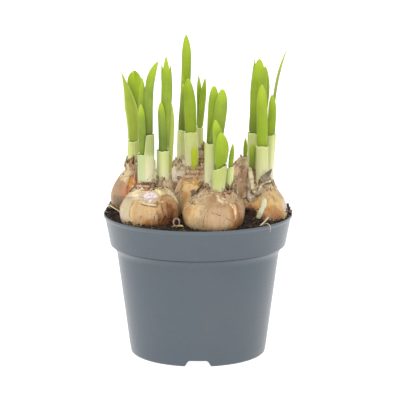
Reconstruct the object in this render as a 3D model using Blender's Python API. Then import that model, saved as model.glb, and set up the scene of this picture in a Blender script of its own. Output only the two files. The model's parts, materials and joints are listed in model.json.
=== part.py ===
# Potted daffodil: a nursery pot of sprouting daffodil bulbs
# Lengths below are in millimetres and are turned to metres as each mesh is made.
# X runs to the right, Y away from the front, Z up; the origin is the middle of the foot's underside.

import math

import bmesh
import bpy
import numpy as np
from mathutils import noise

MM = 0.001
GAP = 0.35              # clear space left between pieces that bear on each other
SHARP_ANGLE = math.radians(38.0)

# Pot
ROUND_STEPS = 44
RIM_RADIUS = 60.0
POT_HEIGHT = 90.0
COLLAR_TOP_RADIUS = 59.0
COLLAR_LOW_RADIUS = 55.8
COLLAR_LOW_Z = 70.6
BODY_TOP_RADIUS = 51.5
BODY_TOP_Z = 65.2
FOOT_FILLET = 2.6
FOOT_RADIUS = 43.8
FOOT_LAND_INNER = 39.4
WALL = 1.1
BASE_UNDER_Z = 4.6
BASE_TOP_Z = 5.8
NOTCH_BOTTOM_WIDTH = 16.6
NOTCH_TOP_WIDTH = 10.8
NOTCH_HEIGHT = 4.2
NOTCH_COUNT = 4
DRAIN_HOLE_RADIUS = 4.0
DRAIN_HOLE_CIRCLE = 28.0
DRAIN_HOLE_COUNT = 4

# Compost
SOIL_EDGE_Z = 88.4
SOIL_CROWN = 1.6
SOIL_LUMP = 1.5
POCKET_SLACK = 0.12      # more room round a bulb, whose skin has closer levels than its pocket

# Bulbs: centre, greatest radius, height of the widest level, neck radius and height, neck centre, shoulder shape
BULBS = {
    "left_back": dict(at=(-42.6, 8.0), r=12.9, widest=98.0, neck=(4.3, 116.0), top_at=(-41.6, 7.4), power=1.0, seed=1),
    "left_front": dict(at=(-30.3, -23.6), r=18.6, widest=95.5, neck=(7.6, 112.2), top_at=(-28.4, -23.6), power=1.0,
                       seed=2),
    "middle_back": dict(at=(-9.8, 25.0), r=10.9, widest=100.0, neck=(4.4, 119.5), top_at=(-10.6, 24.4), power=1.0,
                        seed=3),
    "centre": dict(at=(-2.2, -3.0), r=13.4, widest=96.5, neck=(5.8, 115.0), top_at=(-2.4, -4.6), power=1.0, seed=4),
    "back": dict(at=(5.0, 43.0), r=11.4, widest=98.0, neck=(3.6, 117.0), top_at=(3.0, 40.2), power=1.0, seed=5),
    "front": dict(at=(9.4, -36.3), r=19.0, widest=97.0, neck=(7.4, 112.2), top_at=(12.2, -35.4), power=1.1, seed=6),
    "right_back": dict(at=(29.0, 23.0), r=12.2, widest=98.0, neck=(2.8, 121.5), top_at=(30.0, 21.2), power=1.2, seed=7),
    "right": dict(at=(41.6, -8.0), r=14.4, widest=94.0, neck=(7.4, 111.4), top_at=(41.0, -5.4), power=1.2, seed=8),
}
BULB_STEPS = 16
BULB_DEPTH = 0.95       # depth below the widest level, as a share of the radius
BASAL_SHARE = 0.855     # how far the underside draws in towards the basal plate

# Papery necks: centre, half width and half depth, foot and torn top heights, torn height, lean, and how wide the
# root is that sinks in the body
NECKS = {
    "left_back": [dict(at=(-41.9, 6.8), half=(5.0, 4.7), low=110.0, top=124.6, ragged=2.6, lean=(0.2, -0.6))],
    "left_front": [dict(at=(-32.0, -26.2), half=(7.0, 5.3), low=105.0, top=115.2, ragged=1.0, lean=(0.0, 0.0)),
                   dict(at=(-20.8, -19.8), half=(6.8, 5.8), low=103.0, top=117.6, ragged=1.4, lean=(0.3, 0.2),
                        root=0.8)],
    "middle_back": [dict(at=(-10.9, 24.2), half=(5.0, 4.7), low=112.0, top=122.6, ragged=1.3, lean=(0.2, 0.0))],
    "centre": [dict(at=(-2.6, -5.4), half=(8.1, 7.2), low=107.0, top=120.6, ragged=1.8, lean=(0.2, 0.0))],
    "back": [dict(at=(2.9, 40.2), half=(4.6, 4.4), low=110.0, top=126.4, ragged=1.7, lean=(0.4, -0.2))],
    "front": [dict(at=(8.4, -31.2), half=(6.4, 5.4), low=104.0, top=113.9, ragged=0.9, lean=(0.0, 0.0)),
              dict(at=(12.0, -40.8), half=(5.9, 5.0), low=102.0, top=113.2, ragged=0.8, lean=(0.0, 0.0)),
              dict(at=(19.0, -34.8), half=(4.7, 4.5), low=102.0, top=115.8, ragged=1.4, lean=(0.3, 0.0), root=0.9)],
    "right_back": [dict(at=(30.2, 20.8), half=(3.3, 3.1), low=112.0, top=122.6, ragged=1.0, lean=(0.0, -0.2))],
    "right": [dict(at=(40.4, -10.0), half=(5.9, 5.1), low=103.0, top=114.0, ragged=1.4, lean=(0.0, 0.0)),
              dict(at=(37.2, 0.8), half=(7.4, 5.5), low=102.0, top=118.0, ragged=1.4, lean=(0.0, 0.0), root=0.85),
              dict(at=(46.6, -3.0), half=(4.6, 4.5), low=102.0, top=116.6, ragged=1.4, lean=(0.2, 0.0), root=0.9),
              dict(at=(34.2, -5.6), half=(4.1, 3.6), low=101.0, top=118.6, ragged=1.6, lean=(0.0, 0.2), root=0.8)],
}
NECK_STEPS = 12

# Torn skin: points on the bulb's skin as (azimuth, height, lift), and a width
TATTERS = {
    "left_back": [dict(path=((205, 116, 0.2), (196, 122, 1.0), (188, 128, 2.0)), width=3.0)],
    "left_front": [dict(path=((256, 110, 0.2), (285, 107, 1.0), (312, 106, 0.2)), width=4.0),
                   dict(path=((205, 109.5, 0.2), (228, 111.0, 1.0), (252, 110.8, 0.2)), width=3.2)],
    "centre": [dict(path=((226, 111, 0.2), (258, 113.0, 1.0), (290, 112, 0.2)), width=3.4)],
    "front": [dict(path=((190, 105, 0.2), (222, 108.5, 1.0), (250, 109.5, 0.2)), width=4.4),
              dict(path=((275, 108, 0.2), (300, 106.5, 1.1), (326, 108, 0.2)), width=4.0)],
    "right": [dict(path=((200, 112, 0.5), (218, 107, 1.3), (236, 100.5, 0.9)), width=7.0),
              dict(path=((304, 112.0, 0.5), (270, 106.0, 1.5), (240, 100.0, 1.3)), width=4.2)],
}
TATTER_THICK = 1.3

# Shoots: foot and top of the sheath's axis, half width and half depth there, facing, tilt and torn height of the lip
SHEATH_STEPS = 12
SHEATH_WALL = 0.65
SHOOTS = {
    "left_back": dict(foot=(-41.7, 7.0, 113.5), top=(-41.0, 5.4, 135.0), foot_half=(3.5, 3.2), top_half=(3.6, 3.2),
                      face=-86, tilt=0.0, ragged=0.3),
    "left_front": dict(foot=(-32.1, -26.0, 108.5), top=(-31.9, -26.4, 138.2), foot_half=(5.3, 3.7),
                       top_half=(5.6, 3.8), face=-90, tilt=0.0, ragged=0.3, step=6.2),
    "left_front_right": dict(foot=(-21.7, -20.2, 108.0), top=(-21.7, -20.6, 133.4), foot_half=(4.5, 3.9),
                             top_half=(4.7, 3.9), face=-93, tilt=0.0, ragged=0.4),
    "middle_back": dict(foot=(-10.9, 24.2, 113.0), top=(-9.8, 23.6, 139.2), foot_half=(3.3, 3.0), top_half=(3.4, 3.0),
                        face=-80, tilt=-0.1, ragged=0.4),
    "centre": dict(foot=(-3.6, -3.8, 110.0), top=(-4.2, -4.2, 142.4), foot_half=(4.6, 3.4), top_half=(4.8, 3.6),
                   face=-92, tilt=0.0, ragged=0.25),
    "back": dict(foot=(2.3, 40.2, 114.0), top=(1.6, 38.6, 138.2), foot_half=(2.8, 2.6), top_half=(2.9, 2.6), face=-72,
                 tilt=0.0, ragged=0.3),
    "front": dict(foot=(8.4, -31.3, 106.0), top=(8.9, -31.0, 139.6), foot_half=(4.1, 3.5), top_half=(4.4, 3.6),
                  face=-84, tilt=-0.1, ragged=0.4),
    "front_left": dict(foot=(11.9, -40.9, 105.5), top=(12.9, -41.6, 126.2), foot_half=(3.8, 3.4), top_half=(4.5, 3.8),
                       face=-94, tilt=0.45, ragged=0.3),
    "front_right": dict(foot=(18.9, -34.8, 108.0), top=(20.0, -35.0, 125.4), foot_half=(2.2, 2.2), top_half=(2.3, 2.2),
                        face=-90, tilt=0.4, ragged=0.4),
    "right": dict(foot=(40.3, -9.9, 107.0), top=(40.1, -11.4, 134.6), foot_half=(4.0, 3.4), top_half=(4.1, 3.4),
                  face=-90, tilt=0.0, ragged=0.2),
    "right_left": dict(foot=(37.4, 0.9, 109.0), top=(37.2, 0.2, 141.2), foot_half=(5.8, 3.7), top_half=(5.9, 3.9),
                       face=-88, tilt=0.0, ragged=0.4),
    "right_right": dict(foot=(46.5, -3.0, 108.5), top=(46.7, -4.2, 140.2), foot_half=(2.8, 2.7), top_half=(2.8, 2.7),
                        face=-98, tilt=0.3, ragged=1.0),
}

# Leaves: offset towards the front and along the width; half width in the sheath, just above it and at its widest;
# cupping at foot and tip; thickness; tip point; length, roundness and point of the tip's taper
LEAVES = {
    "left_back_1": dict(shoot="left_back", out=-1.1, side=0.0, half=(2.1, 3.3, 4.5), cup=(-0.5, -1.7), thick=1.1,
                        tip=(-40.4, 10.6, 180.0), taper=8.0, blunt=2.2, point=0.5),
    "left_back_2": dict(shoot="left_back", out=1.05, side=0.0, half=(2.1, 3.3, 3.8), cup=(0.5, 0.7), thick=1.1,
                        tip=(-47.4, 2.6, 178.2), taper=25.0, blunt=1.0, point=1.5, bend=1.9),
    "left_front_1": dict(shoot="left_front", out=1.35, side=-1.7, half=(1.6, 1.75, 1.9), cup=(0.2, 0.3), thick=1.0,
                         tip=(-35.2, -29.0, 163.6), taper=10.0, blunt=2.0, point=0.6),
    "left_front_2": dict(shoot="left_front", out=-0.25, side=-1.8, half=(1.9, 1.9, 2.2), cup=(0.3, 0.4), thick=1.0,
                         tip=(-34.4, -24.8, 179.8), taper=20.0, blunt=1.8, point=0.8),
    "left_front_3": dict(shoot="left_front", out=0.0, side=2.4, half=(1.5, 1.8, 2.2), cup=(0.2, 0.4), thick=1.2,
                         tip=(-24.0, -26.4, 189.6), taper=24.0, blunt=1.8, point=0.75, bend=3.6, lip=143.6),
    "left_front_right_1": dict(shoot="left_front_right", out=0.75, side=0.1, half=(2.6, 2.9, 3.1), cup=(0.1, 0.2),
                               thick=0.9, tip=(-19.6, -21.4, 192.6), taper=20.0, blunt=1.6, point=0.8),
    "left_front_right_2": dict(shoot="left_front_right", out=-0.4, side=-0.8, half=(1.9, 2.1, 2.1), cup=(0.0, 0.0),
                               thick=0.8, tip=(-22.8, -19.2, 187.2), taper=18.0, blunt=1.6, point=0.8),
    "left_front_right_3": dict(shoot="left_front_right", out=-1.55, side=0.8, half=(1.5, 1.9, 2.0), cup=(0.0, 0.0),
                               thick=0.8, tip=(-16.9, -17.0, 186.4), taper=18.0, blunt=1.6, point=0.8),
    "left_front_right_4": dict(shoot="left_front_right", out=1.9, side=-0.5, half=(1.2, 1.8, 2.0), cup=(0.0, 0.1),
                               thick=0.8, tip=(-22.9, -24.2, 164.4), taper=11.0, blunt=2.0, point=0.6),
    "middle_back_1": dict(shoot="middle_back", out=-0.9, side=0.0, half=(1.7, 2.7, 2.9), cup=(-0.3, -0.6), thick=1.0,
                          tip=(-7.6, 26.6, 200.6), taper=15.0, blunt=2.0, point=0.6),
    "middle_back_2": dict(shoot="middle_back", out=0.95, side=0.0, half=(1.7, 2.0, 2.1), cup=(0.4, 0.4), thick=1.0,
                          tip=(-9.9, 19.8, 176.0), taper=18.0, blunt=1.8, point=0.8),
    "centre_1": dict(shoot="centre", out=1.3, side=0.0, half=(3.0, 4.2, 4.5), cup=(0.75, 1.4), thick=1.3,
                     tip=(-6.0, -6.6, 176.4), taper=14.0, blunt=2.0, point=0.5, bow=0.9),
    "centre_2": dict(shoot="centre", out=-1.3, side=0.0, half=(3.0, 3.6, 3.7), cup=(-0.75, -1.0), thick=1.3,
                     tip=(-9.0, 1.2, 171.8), taper=16.0, blunt=2.0, point=0.6),
    "back_1": dict(shoot="back", out=0.85, side=0.0, half=(1.25, 1.8, 2.0), cup=(0.25, 0.3), thick=0.9,
                   tip=(4.3, 35.8, 171.2), taper=15.0, blunt=1.8, point=0.75),
    "back_2": dict(shoot="back", out=-0.8, side=0.0, half=(1.25, 1.8, 1.9), cup=(-0.25, -0.3), thick=0.9,
                   tip=(-0.1, 41.4, 172.2), taper=15.0, blunt=1.8, point=0.75),
    "front_1": dict(shoot="front", out=1.2, side=0.0, half=(2.5, 3.9, 4.3), cup=(0.65, 1.1), thick=1.2,
                    tip=(14.6, -33.6, 173.6), taper=13.0, blunt=2.0, point=0.5, bend=1.3, bow=0.6),
    "front_2": dict(shoot="front", out=-1.2, side=0.0, half=(2.5, 3.3, 3.5), cup=(-0.65, -0.8), thick=1.2,
                    tip=(9.7, -26.8, 174.6), taper=12.0, blunt=2.0, point=0.5),
    "front_left_1": dict(shoot="front_left", out=1.15, side=-0.1, half=(2.3, 3.2, 3.4), cup=(0.6, 0.9), thick=1.2,
                         tip=(10.6, -44.4, 155.2), taper=13.0, blunt=2.0, point=0.6, bend=1.6),
    "front_left_2": dict(shoot="front_left", out=-1.2, side=0.0, half=(2.3, 3.9, 4.2), cup=(-0.6, -0.9), thick=1.2,
                         tip=(13.8, -37.6, 149.6), taper=12.0, blunt=2.0, point=0.55, bow=0.8, lip=127.8),
    "front_right_1": dict(shoot="front_right", out=0.0, side=0.0, half=(0.95, 1.5, 1.6), cup=(0.0, 0.0), thick=1.0,
                          tip=(21.5, -34.6, 140.2), taper=9.0, blunt=1.8, point=0.7),
    "right_1": dict(shoot="right", out=0.35, side=0.0, half=(2.6, 3.5, 3.6), cup=(0.6, 1.2), thick=1.9,
                    tip=(39.8, -12.8, 173.4), taper=14.0, blunt=2.0, point=0.6),
    "right_left_1": dict(shoot="right_left", out=1.35, side=-0.3, half=(3.7, 4.9, 5.2), cup=(0.6, 1.2), thick=1.1,
                         tip=(38.2, -4.2, 188.6), taper=24.0, blunt=2.0, point=0.62, bow=0.9),
    "right_left_2": dict(shoot="right_left", out=-0.35, side=-1.5, half=(2.4, 2.7, 2.8), cup=(0.0, 0.0), thick=0.8,
                         tip=(35.3, 0.6, 187.2), taper=20.0, blunt=1.8, point=0.7),
    "right_left_3": dict(shoot="right_left", out=-1.6, side=1.2, half=(1.7, 3.2, 3.6), cup=(0.0, 0.0), thick=0.8,
                         tip=(42.4, 4.8, 182.6), taper=18.0, blunt=2.0, point=0.6, bow=1.0),
    "right_right_1": dict(shoot="right_right", out=0.75, side=0.0, half=(1.15, 1.9, 2.1), cup=(0.15, 0.4), thick=0.85,
                          tip=(47.1, -6.8, 165.6), taper=12.0, blunt=2.0, point=0.6),
    "right_right_2": dict(shoot="right_right", turn=90, out=0.0, side=0.85, half=(0.5, 0.85, 1.0), cup=(0.0, 0.0),
                          thick=0.8, tip=(54.6, 0.2, 192.6), taper=45.0, blunt=1.0, point=0.8, bend=2.6),
}

# Blades that stand in holes of their own in a neck
SPROUTS = {
    "right_back_1": dict(bulb="right_back", foot=(30.2, 20.8, 116.0), tip=(30.5, 20.2, 134.4), face=-90,
                         half=(1.1, 1.4), thick=1.5, taper=8.0, blunt=2.0, point=0.6),
    "centre_3": dict(bulb="centre", foot=(-1.9, -9.6, 114.0), tip=(-2.2, -10.2, 134.0), face=-90, half=(1.9, 2.1),
                     thick=1.3, taper=4.0, blunt=2.4, point=0.5),
    "left_front_right_5": dict(bulb="left_front", foot=(-15.8, -17.4, 111.0), tip=(-16.6, -18.4, 160.2), face=-80,
                               half=(0.95, 1.35), thick=1.0, taper=14.0, blunt=1.8, point=0.7),
    "right_left_4": dict(bulb="right", foot=(33.6, -5.6, 111.0), tip=(34.3, -5.0, 135.0), face=-90, half=(1.5, 1.8),
                         thick=1.2, taper=6.0, blunt=2.0, point=0.6),
}
SPROUT_HOLE = 16.0      # reach of a sprout's hole above its floor

# Loose bits and the side shoot
SIDE_SHOOT = dict(bulb="right", path=((270, 101.0), (264, 96.2), (256, 91.6)), width=3.0, thick=1.0)
SIDE_SHOOT_LIFT = 0.4
STICK = dict(path=((38.2, -40.8, 89.7), (41.2, -33.0, 90.6), (44.1, -24.2, 92.0)), width=1.3, thick=1.0)
FIBRE = dict(path=((39.8, -39.6, 89.6), (41.9, -41.0, 91.2), (44.1, -42.6, 90.5), (44.3, -42.8, 85.8)), width=0.8,
             thick=0.7)
STRAW = dict(path=((-58.4, -2.6, 95.4), (-53.4, -4.6, 92.8), (-48.6, -8.0, 90.0)), width=1.2, thick=0.8)

STEM_LEVELS = (0.0, 0.5, 1.0)                   # shares of a leaf between its sheath and its taper
TAPER_LEVELS = (0.38, 0.72, 0.92, 1.0)          # shares of the taper
WIDENING = 5.0                                  # a leaf spreads out this far above its sheath


def clear_scene():
    # starts from an empty scene
    for item in list(bpy.data.objects):
        bpy.data.objects.remove(item, do_unlink=True)


def make_material(name, colour, roughness, metallic=0.0):
    material = bpy.data.materials.new(name)
    material.use_nodes = True
    shader = material.node_tree.nodes["Principled BSDF"]
    shader.inputs["Base Color"].default_value = (*colour, 1.0)
    shader.inputs["Roughness"].default_value = roughness
    shader.inputs["Metallic"].default_value = metallic
    material.diffuse_color = (*colour, 1.0)
    return material


def make_object(name, points, faces, material):
    # the mesh is smooth shaded, with its sharp bends marked
    mesh = bpy.data.meshes.new(name)
    mesh.from_pydata([tuple(float(value) * MM for value in point) for point in points], [], faces)
    mesh.update()
    mesh.materials.append(material)
    item = bpy.data.objects.new(name, mesh)
    bpy.context.scene.collection.objects.link(item)
    finish_shading(mesh)
    return item


def finish_shading(mesh):
    mesh.polygons.foreach_set("use_smooth", [True] * len(mesh.polygons))
    mesh.set_sharp_from_angle(angle=SHARP_ANGLE)
    mesh.update()


def skin_rings(rings, start=None, end=None, mirrored=False):
    # rings of equal count joined by triangles and closed by a point or a fan at each end
    count = len(rings[0])
    points = [point for ring in rings for point in ring]
    faces = []
    for level in range(len(rings) - 1):
        for step in range(count):
            after = (step + 1) % count
            low, low_after = level * count + step, level * count + after
            high, high_after = low + count, low_after + count
            if mirrored and step >= count // 2:
                faces += [(low, low_after, high), (low_after, high_after, high)]
            else:
                faces += [(low, low_after, high_after), (low, high_after, high)]
    last = (len(rings) - 1) * count
    start_point = start if start is not None else np.mean(rings[0], axis=0)
    end_point = end if end is not None else np.mean(rings[-1], axis=0)
    points += [start_point, end_point]
    for step in range(count):
        after = (step + 1) % count
        faces.append((after, step, len(points) - 2))
        faces.append((last + step, last + after, len(points) - 1))
    return points, faces


def circle_angles(count):
    return np.arange(count) * (2.0 * math.pi / count)


def lathe(profile, count):
    # every profile point but the two on the axis becomes a ring
    angles = circle_angles(count)
    rings = [np.stack([r * np.cos(angles), r * np.sin(angles), np.full(count, z)], axis=1) for r, z in profile[1:-1]]
    start = np.array([0.0, 0.0, profile[0][1]])
    end = np.array([0.0, 0.0, profile[-1][1]])
    return skin_rings(rings, start, end)


def apply_boolean(item, operation, operands, name):
    # one Boolean on a collection of operands, which are then removed
    group = bpy.data.collections.new(name)
    for operand in operands:
        operand.hide_render = True
        operand.display_type = "WIRE"
        bpy.context.scene.collection.objects.unlink(operand)
        group.objects.link(operand)
    bpy.context.scene.collection.children.link(group)
    modifier = item.modifiers.new(name, "BOOLEAN")
    modifier.operation = operation
    modifier.operand_type = "COLLECTION"
    modifier.collection = group
    modifier.solver = "EXACT"
    graph = bpy.context.evaluated_depsgraph_get()
    joined = bpy.data.meshes.new_from_object(item.evaluated_get(graph))
    item.modifiers.clear()
    old = item.data
    item.data = joined
    joined.name = item.name
    bpy.data.meshes.remove(old)
    for operand in operands:
        bpy.data.objects.remove(operand, do_unlink=True)
    bpy.data.collections.remove(group)
    drop_scraps(joined)
    finish_shading(joined)


def drop_scraps(mesh):
    # keeps the largest connected body of the mesh, and drops slivers that a cut left loose
    work = bmesh.new()
    work.from_mesh(mesh)
    pending = set(work.verts)
    bodies = []
    while pending:
        body, front = set(), [pending.pop()]
        while front:
            vertex = front.pop()
            body.add(vertex)
            for edge in vertex.link_edges:
                other = edge.other_vert(vertex)
                if other in pending:
                    pending.remove(other)
                    front.append(other)
        bodies.append(body)
    bodies.sort(key=len, reverse=True)
    for body in bodies[1:]:
        bmesh.ops.delete(work, geom=list(body), context="VERTS")
    work.to_mesh(mesh)
    work.free()


def inner_profile(shrink):
    # the pot's inside from the rim down to the base plate, drawn in by shrink
    low_inside = FOOT_RADIUS - WALL
    return [
        (COLLAR_TOP_RADIUS - WALL - 0.2 - shrink, POT_HEIGHT - 2.4),
        (COLLAR_LOW_RADIUS - WALL - shrink, COLLAR_LOW_Z + 0.4),
        (COLLAR_LOW_RADIUS - WALL - 1.4 - shrink, COLLAR_LOW_Z - 2.0 + shrink * 0.6),
        (BODY_TOP_RADIUS - WALL - 0.1 - shrink, BODY_TOP_Z + 0.6 + shrink * 0.2),
        (low_inside + 0.5 - shrink, BASE_TOP_Z + 3.2),
        (low_inside - 0.6 - shrink, BASE_TOP_Z + 0.9 + shrink * 0.6),
        (low_inside - 2.0 - shrink, BASE_TOP_Z + shrink),
    ]


def build_pot(material):
    # the foot's outer edge is a round, and the collar swells out above the body
    fillet_centre = FOOT_RADIUS - FOOT_FILLET
    land = [(fillet_centre + FOOT_FILLET * math.cos(math.radians(a)), FOOT_FILLET + FOOT_FILLET * math.sin(math.radians(a)))
            for a in (-90, -50, -12)]
    profile = [(0.0, BASE_UNDER_Z), (FOOT_LAND_INNER - 0.5, BASE_UNDER_Z), (FOOT_LAND_INNER, 0.0)]
    profile += land
    profile += [
        (BODY_TOP_RADIUS, BODY_TOP_Z),
        (BODY_TOP_RADIUS + 1.7, BODY_TOP_Z + 1.2),
        (COLLAR_LOW_RADIUS - 0.9, COLLAR_LOW_Z - 2.6),
        (COLLAR_LOW_RADIUS, COLLAR_LOW_Z),
        (COLLAR_TOP_RADIUS, POT_HEIGHT - 2.6),
        (RIM_RADIUS, POT_HEIGHT - 1.7),
        (RIM_RADIUS, POT_HEIGHT - 0.5),
        (RIM_RADIUS - 0.6, POT_HEIGHT),
        (COLLAR_TOP_RADIUS - WALL, POT_HEIGHT - 0.1),
    ]
    profile += inner_profile(0.0)
    profile.append((0.0, BASE_TOP_Z))
    points, faces = lathe(profile, ROUND_STEPS)
    pot = make_object("pot", points, faces, material)
    cutters = [notch_cutter(turn * 360.0 / NOTCH_COUNT - 90.0, turn) for turn in range(NOTCH_COUNT)]
    apply_boolean(pot, "DIFFERENCE", cutters, "notches")
    holes = [drain_cutter(45.0 + turn * 360.0 / DRAIN_HOLE_COUNT, turn) for turn in range(DRAIN_HOLE_COUNT)]
    apply_boolean(pot, "DIFFERENCE", holes, "drain_holes")


def notch_cutter(azimuth, number):
    # a trapezium with rounded upper corners, pushed through the foot ring from outside
    low, high = NOTCH_BOTTOM_WIDTH / 2.0, NOTCH_TOP_WIDTH / 2.0
    outline = [(-low - 0.4, -1.0), (-low + 0.3, 0.8), (-high - 1.1, NOTCH_HEIGHT - 1.0), (-high - 0.2, NOTCH_HEIGHT - 0.15),
               (-high + 1.0, NOTCH_HEIGHT)]
    outline += [(-across, up) for across, up in reversed(outline)]
    turn = math.radians(azimuth)
    outward = np.array([math.cos(turn), math.sin(turn), 0.0])
    sideways = np.array([-math.sin(turn), math.cos(turn), 0.0])
    rings = [np.array([outward * reach + sideways * across + np.array([0, 0, up]) for across, up in outline])
             for reach in (FOOT_LAND_INNER - 3.0, FOOT_RADIUS + 4.0)]
    points, faces = skin_rings(rings)
    return make_object("notch_cutter_%d" % number, points, faces, None)


def drain_cutter(azimuth, number):
    turn = math.radians(azimuth)
    centre = np.array([DRAIN_HOLE_CIRCLE * math.cos(turn), DRAIN_HOLE_CIRCLE * math.sin(turn), 0.0])
    angles = circle_angles(14)
    rings = [np.stack([centre[0] + DRAIN_HOLE_RADIUS * np.cos(angles), centre[1] + DRAIN_HOLE_RADIUS * np.sin(angles),
                       np.full(len(angles), z)], axis=1) for z in (BASE_UNDER_Z - 1.5, BASE_TOP_Z + 1.5)]
    points, faces = skin_rings(rings)
    return make_object("drain_cutter_%d" % number, points, faces, None)


def lump(x, y, scale, offset):
    return noise.noise((x / scale + offset, y / scale - offset, offset * 0.37))


def build_soil(material):
    # lumpy top, sides that follow the pot's inside, and a pocket for each bulb
    side = list(reversed(inner_profile(GAP)))
    edge_radius = COLLAR_TOP_RADIUS - WALL - 0.2 - GAP
    profile = [(0.0, BASE_TOP_Z + GAP)] + side[:-1] + [(edge_radius, SOIL_EDGE_Z - 1.2)]
    angles = circle_angles(ROUND_STEPS)
    rings = [np.stack([r * np.cos(angles), r * np.sin(angles), np.full(ROUND_STEPS, z)], axis=1)
             for r, z in profile[1:]]
    for r in (edge_radius - 0.4, 53.0, 47.0, 39.0, 28.0, 15.0):
        ring = []
        for a in angles:
            x, y = r * math.cos(a), r * math.sin(a)
            ring.append((x, y, soil_height(x, y)))
        rings.append(np.array(ring))
    points, faces = skin_rings(rings, np.array([0.0, 0.0, profile[0][1]]), np.array([0.0, 0.0, soil_height(0.0, 0.0)]))
    soil = make_object("soil", points, faces, material)
    pockets = []
    for name, spec in BULBS.items():
        rings, low, high = bulb_rings(spec, GAP + POCKET_SLACK, upper=False)
        points, faces = skin_rings(rings, low, high)
        pockets.append(make_object("pocket_" + name, points, faces, None))
    apply_boolean(soil, "DIFFERENCE", pockets, "pockets")


def soil_height(x, y):
    # crown plus two sizes of lump, calm at the pot's wall
    share = math.hypot(x, y) / RIM_RADIUS
    calm = 1.0 - share ** 8
    return SOIL_EDGE_Z + SOIL_CROWN * (1.0 - share ** 2) + calm * SOIL_LUMP * (lump(x, y, 9.0, 3.1) + 0.5 * lump(x, y, 4.0, 7.7))


def bulb_radius(spec, z):
    # below the widest level an ellipse that ends at the basal plate, above it a parabola up to the neck
    if z <= spec["widest"]:
        depth = (spec["widest"] - z) / (BULB_DEPTH * spec["r"])
        return spec["r"] * math.sqrt(max(1.0 - BASAL_SHARE * depth ** 2, 0.0))
    neck_radius, neck_z = spec["neck"]
    rise = min((z - spec["widest"]) / (neck_z - spec["widest"]), 1.0)
    return neck_radius + (spec["r"] - neck_radius) * (1.0 - rise ** 2) ** spec["power"]


def bulb_centre(spec, z):
    # the axis leans from the body's centre to the neck
    rise = min(max((z - spec["widest"]) / (spec["neck"][1] - spec["widest"]), 0.0), 1.0)
    start, end = np.array(spec["at"]), np.array(spec["top_at"])
    return start + (end - start) * rise ** 1.5


def bulb_wobble(spec, angle):
    # a few low lobes keep the body from being a plain turned shape
    seed = spec["seed"]
    return 1.0 + 0.014 * math.cos(2 * angle + seed * 1.7) + 0.011 * math.cos(3 * angle + seed * 2.9) \
        + 0.006 * math.cos(7 * angle + seed * 0.8)


def bulb_rings(spec, grow, upper):
    # closed rings from the basal plate up; a pocket stops above the compost
    bottom = spec["widest"] - BULB_DEPTH * spec["r"]
    neck_z = spec["neck"][1]
    heights = [spec["widest"] - BULB_DEPTH * spec["r"] * share for share in (1.0, 0.86, 0.62, 0.34, 0.0)]
    if upper:
        span = neck_z - spec["widest"]
        heights += [spec["widest"] + span * share for share in (0.28, 0.52, 0.74, 0.9, 1.0)]
    else:
        heights.append(spec["widest"] + 6.0)
    rings = []
    for z in heights:
        radius = spec["r"] if not upper and z > spec["widest"] else bulb_radius(spec, z)
        centre = bulb_centre(spec, z) if upper else np.array(spec["at"])
        ring = []
        for a in circle_angles(BULB_STEPS):
            reach = radius * bulb_wobble(spec, a) + grow
            drop = -grow if z <= bottom + 0.01 else 0.0
            ring.append((centre[0] + reach * math.cos(a), centre[1] + reach * math.sin(a), z + drop))
        rings.append(np.array(ring))
    low = np.array([spec["at"][0], spec["at"][1], bottom - grow])
    if upper:
        high = np.array([spec["top_at"][0], spec["top_at"][1], neck_z + 0.8])
    else:
        high = np.array([spec["at"][0], spec["at"][1], heights[-1]])
    return rings, low, high


def ragged(angle, seed):
    # an uneven torn edge between minus one and one
    return 0.55 * math.sin(3 * angle + seed) + 0.3 * math.sin(5 * angle + seed * 2.3) + 0.25 * math.sin(7 * angle + seed * 0.7)


def neck_solid(name, spec, seed):
    # widens down into the shoulder and ends above in a torn edge
    half_x, half_y = spec["half"]
    low, top = spec["low"], spec["top"]
    rings = []
    for share, swell in ((0.0, spec.get("root", 1.3)), (0.6, 1.08), (1.0, 0.95)):
        ring = []
        for a in circle_angles(NECK_STEPS):
            z = low + (top - low) * share
            if share == 1.0:
                z += spec["ragged"] * ragged(a, seed)
            rough = swell * (1.0 + 0.035 * math.sin(5 * a + seed * 1.9) * (1.0 if share > 0.2 else 0.0))
            ring.append((spec["at"][0] + spec["lean"][0] * share + half_x * rough * math.cos(a),
                         spec["at"][1] + spec["lean"][1] * share + half_y * rough * math.sin(a), z))
        rings.append(np.array(ring))
    points, faces = skin_rings(rings)
    return make_object(name, points, faces, None)


def ribbon_rings(centres, widths, normals, half_widths, thicknesses, cups, across, grow=0.0):
    # a cupped strip: one face, then the other, at each point of its path
    shares = np.linspace(-1.0, 1.0, across)
    rings = []
    for centre, width, normal, half, thick, cup in zip(centres, widths, normals, half_widths, thicknesses, cups):
        edge = min(max(0.62, thick * 0.62), 0.9)
        body = edge + (thick - edge) * (1.0 - shares ** 2) + 2.0 * grow
        middle = centre + np.outer(shares * (half + grow), width) - np.outer(cup * shares ** 2, normal)
        front = middle + np.outer(body / 2.0, normal)
        back = middle - np.outer(body / 2.0, normal)
        rings.append(np.vstack([front, back[::-1]]))
    return rings


def facing(degrees):
    turn = math.radians(degrees)
    return np.array([-math.sin(turn), math.cos(turn), 0.0]), np.array([math.cos(turn), math.sin(turn), 0.0])


def tip_width(distance_left, spec):
    # full width until the taper starts, then a run-out that is round or pointed
    if distance_left >= spec["taper"]:
        return 1.0
    gone = 1.0 - distance_left / spec["taper"]
    return max(1.0 - gone ** spec["blunt"], 0.0) ** spec["point"]


def leaf_shares(rise, taper):
    # closer levels where the leaf spreads and where it runs out
    plain = (rise - taper) / rise
    spread = min(WIDENING / rise, plain * 0.5)
    shares = [0.0] + [spread + (plain - spread) * level for level in STEM_LEVELS]
    return shares + [plain + (1.0 - plain) * level for level in TAPER_LEVELS]


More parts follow.
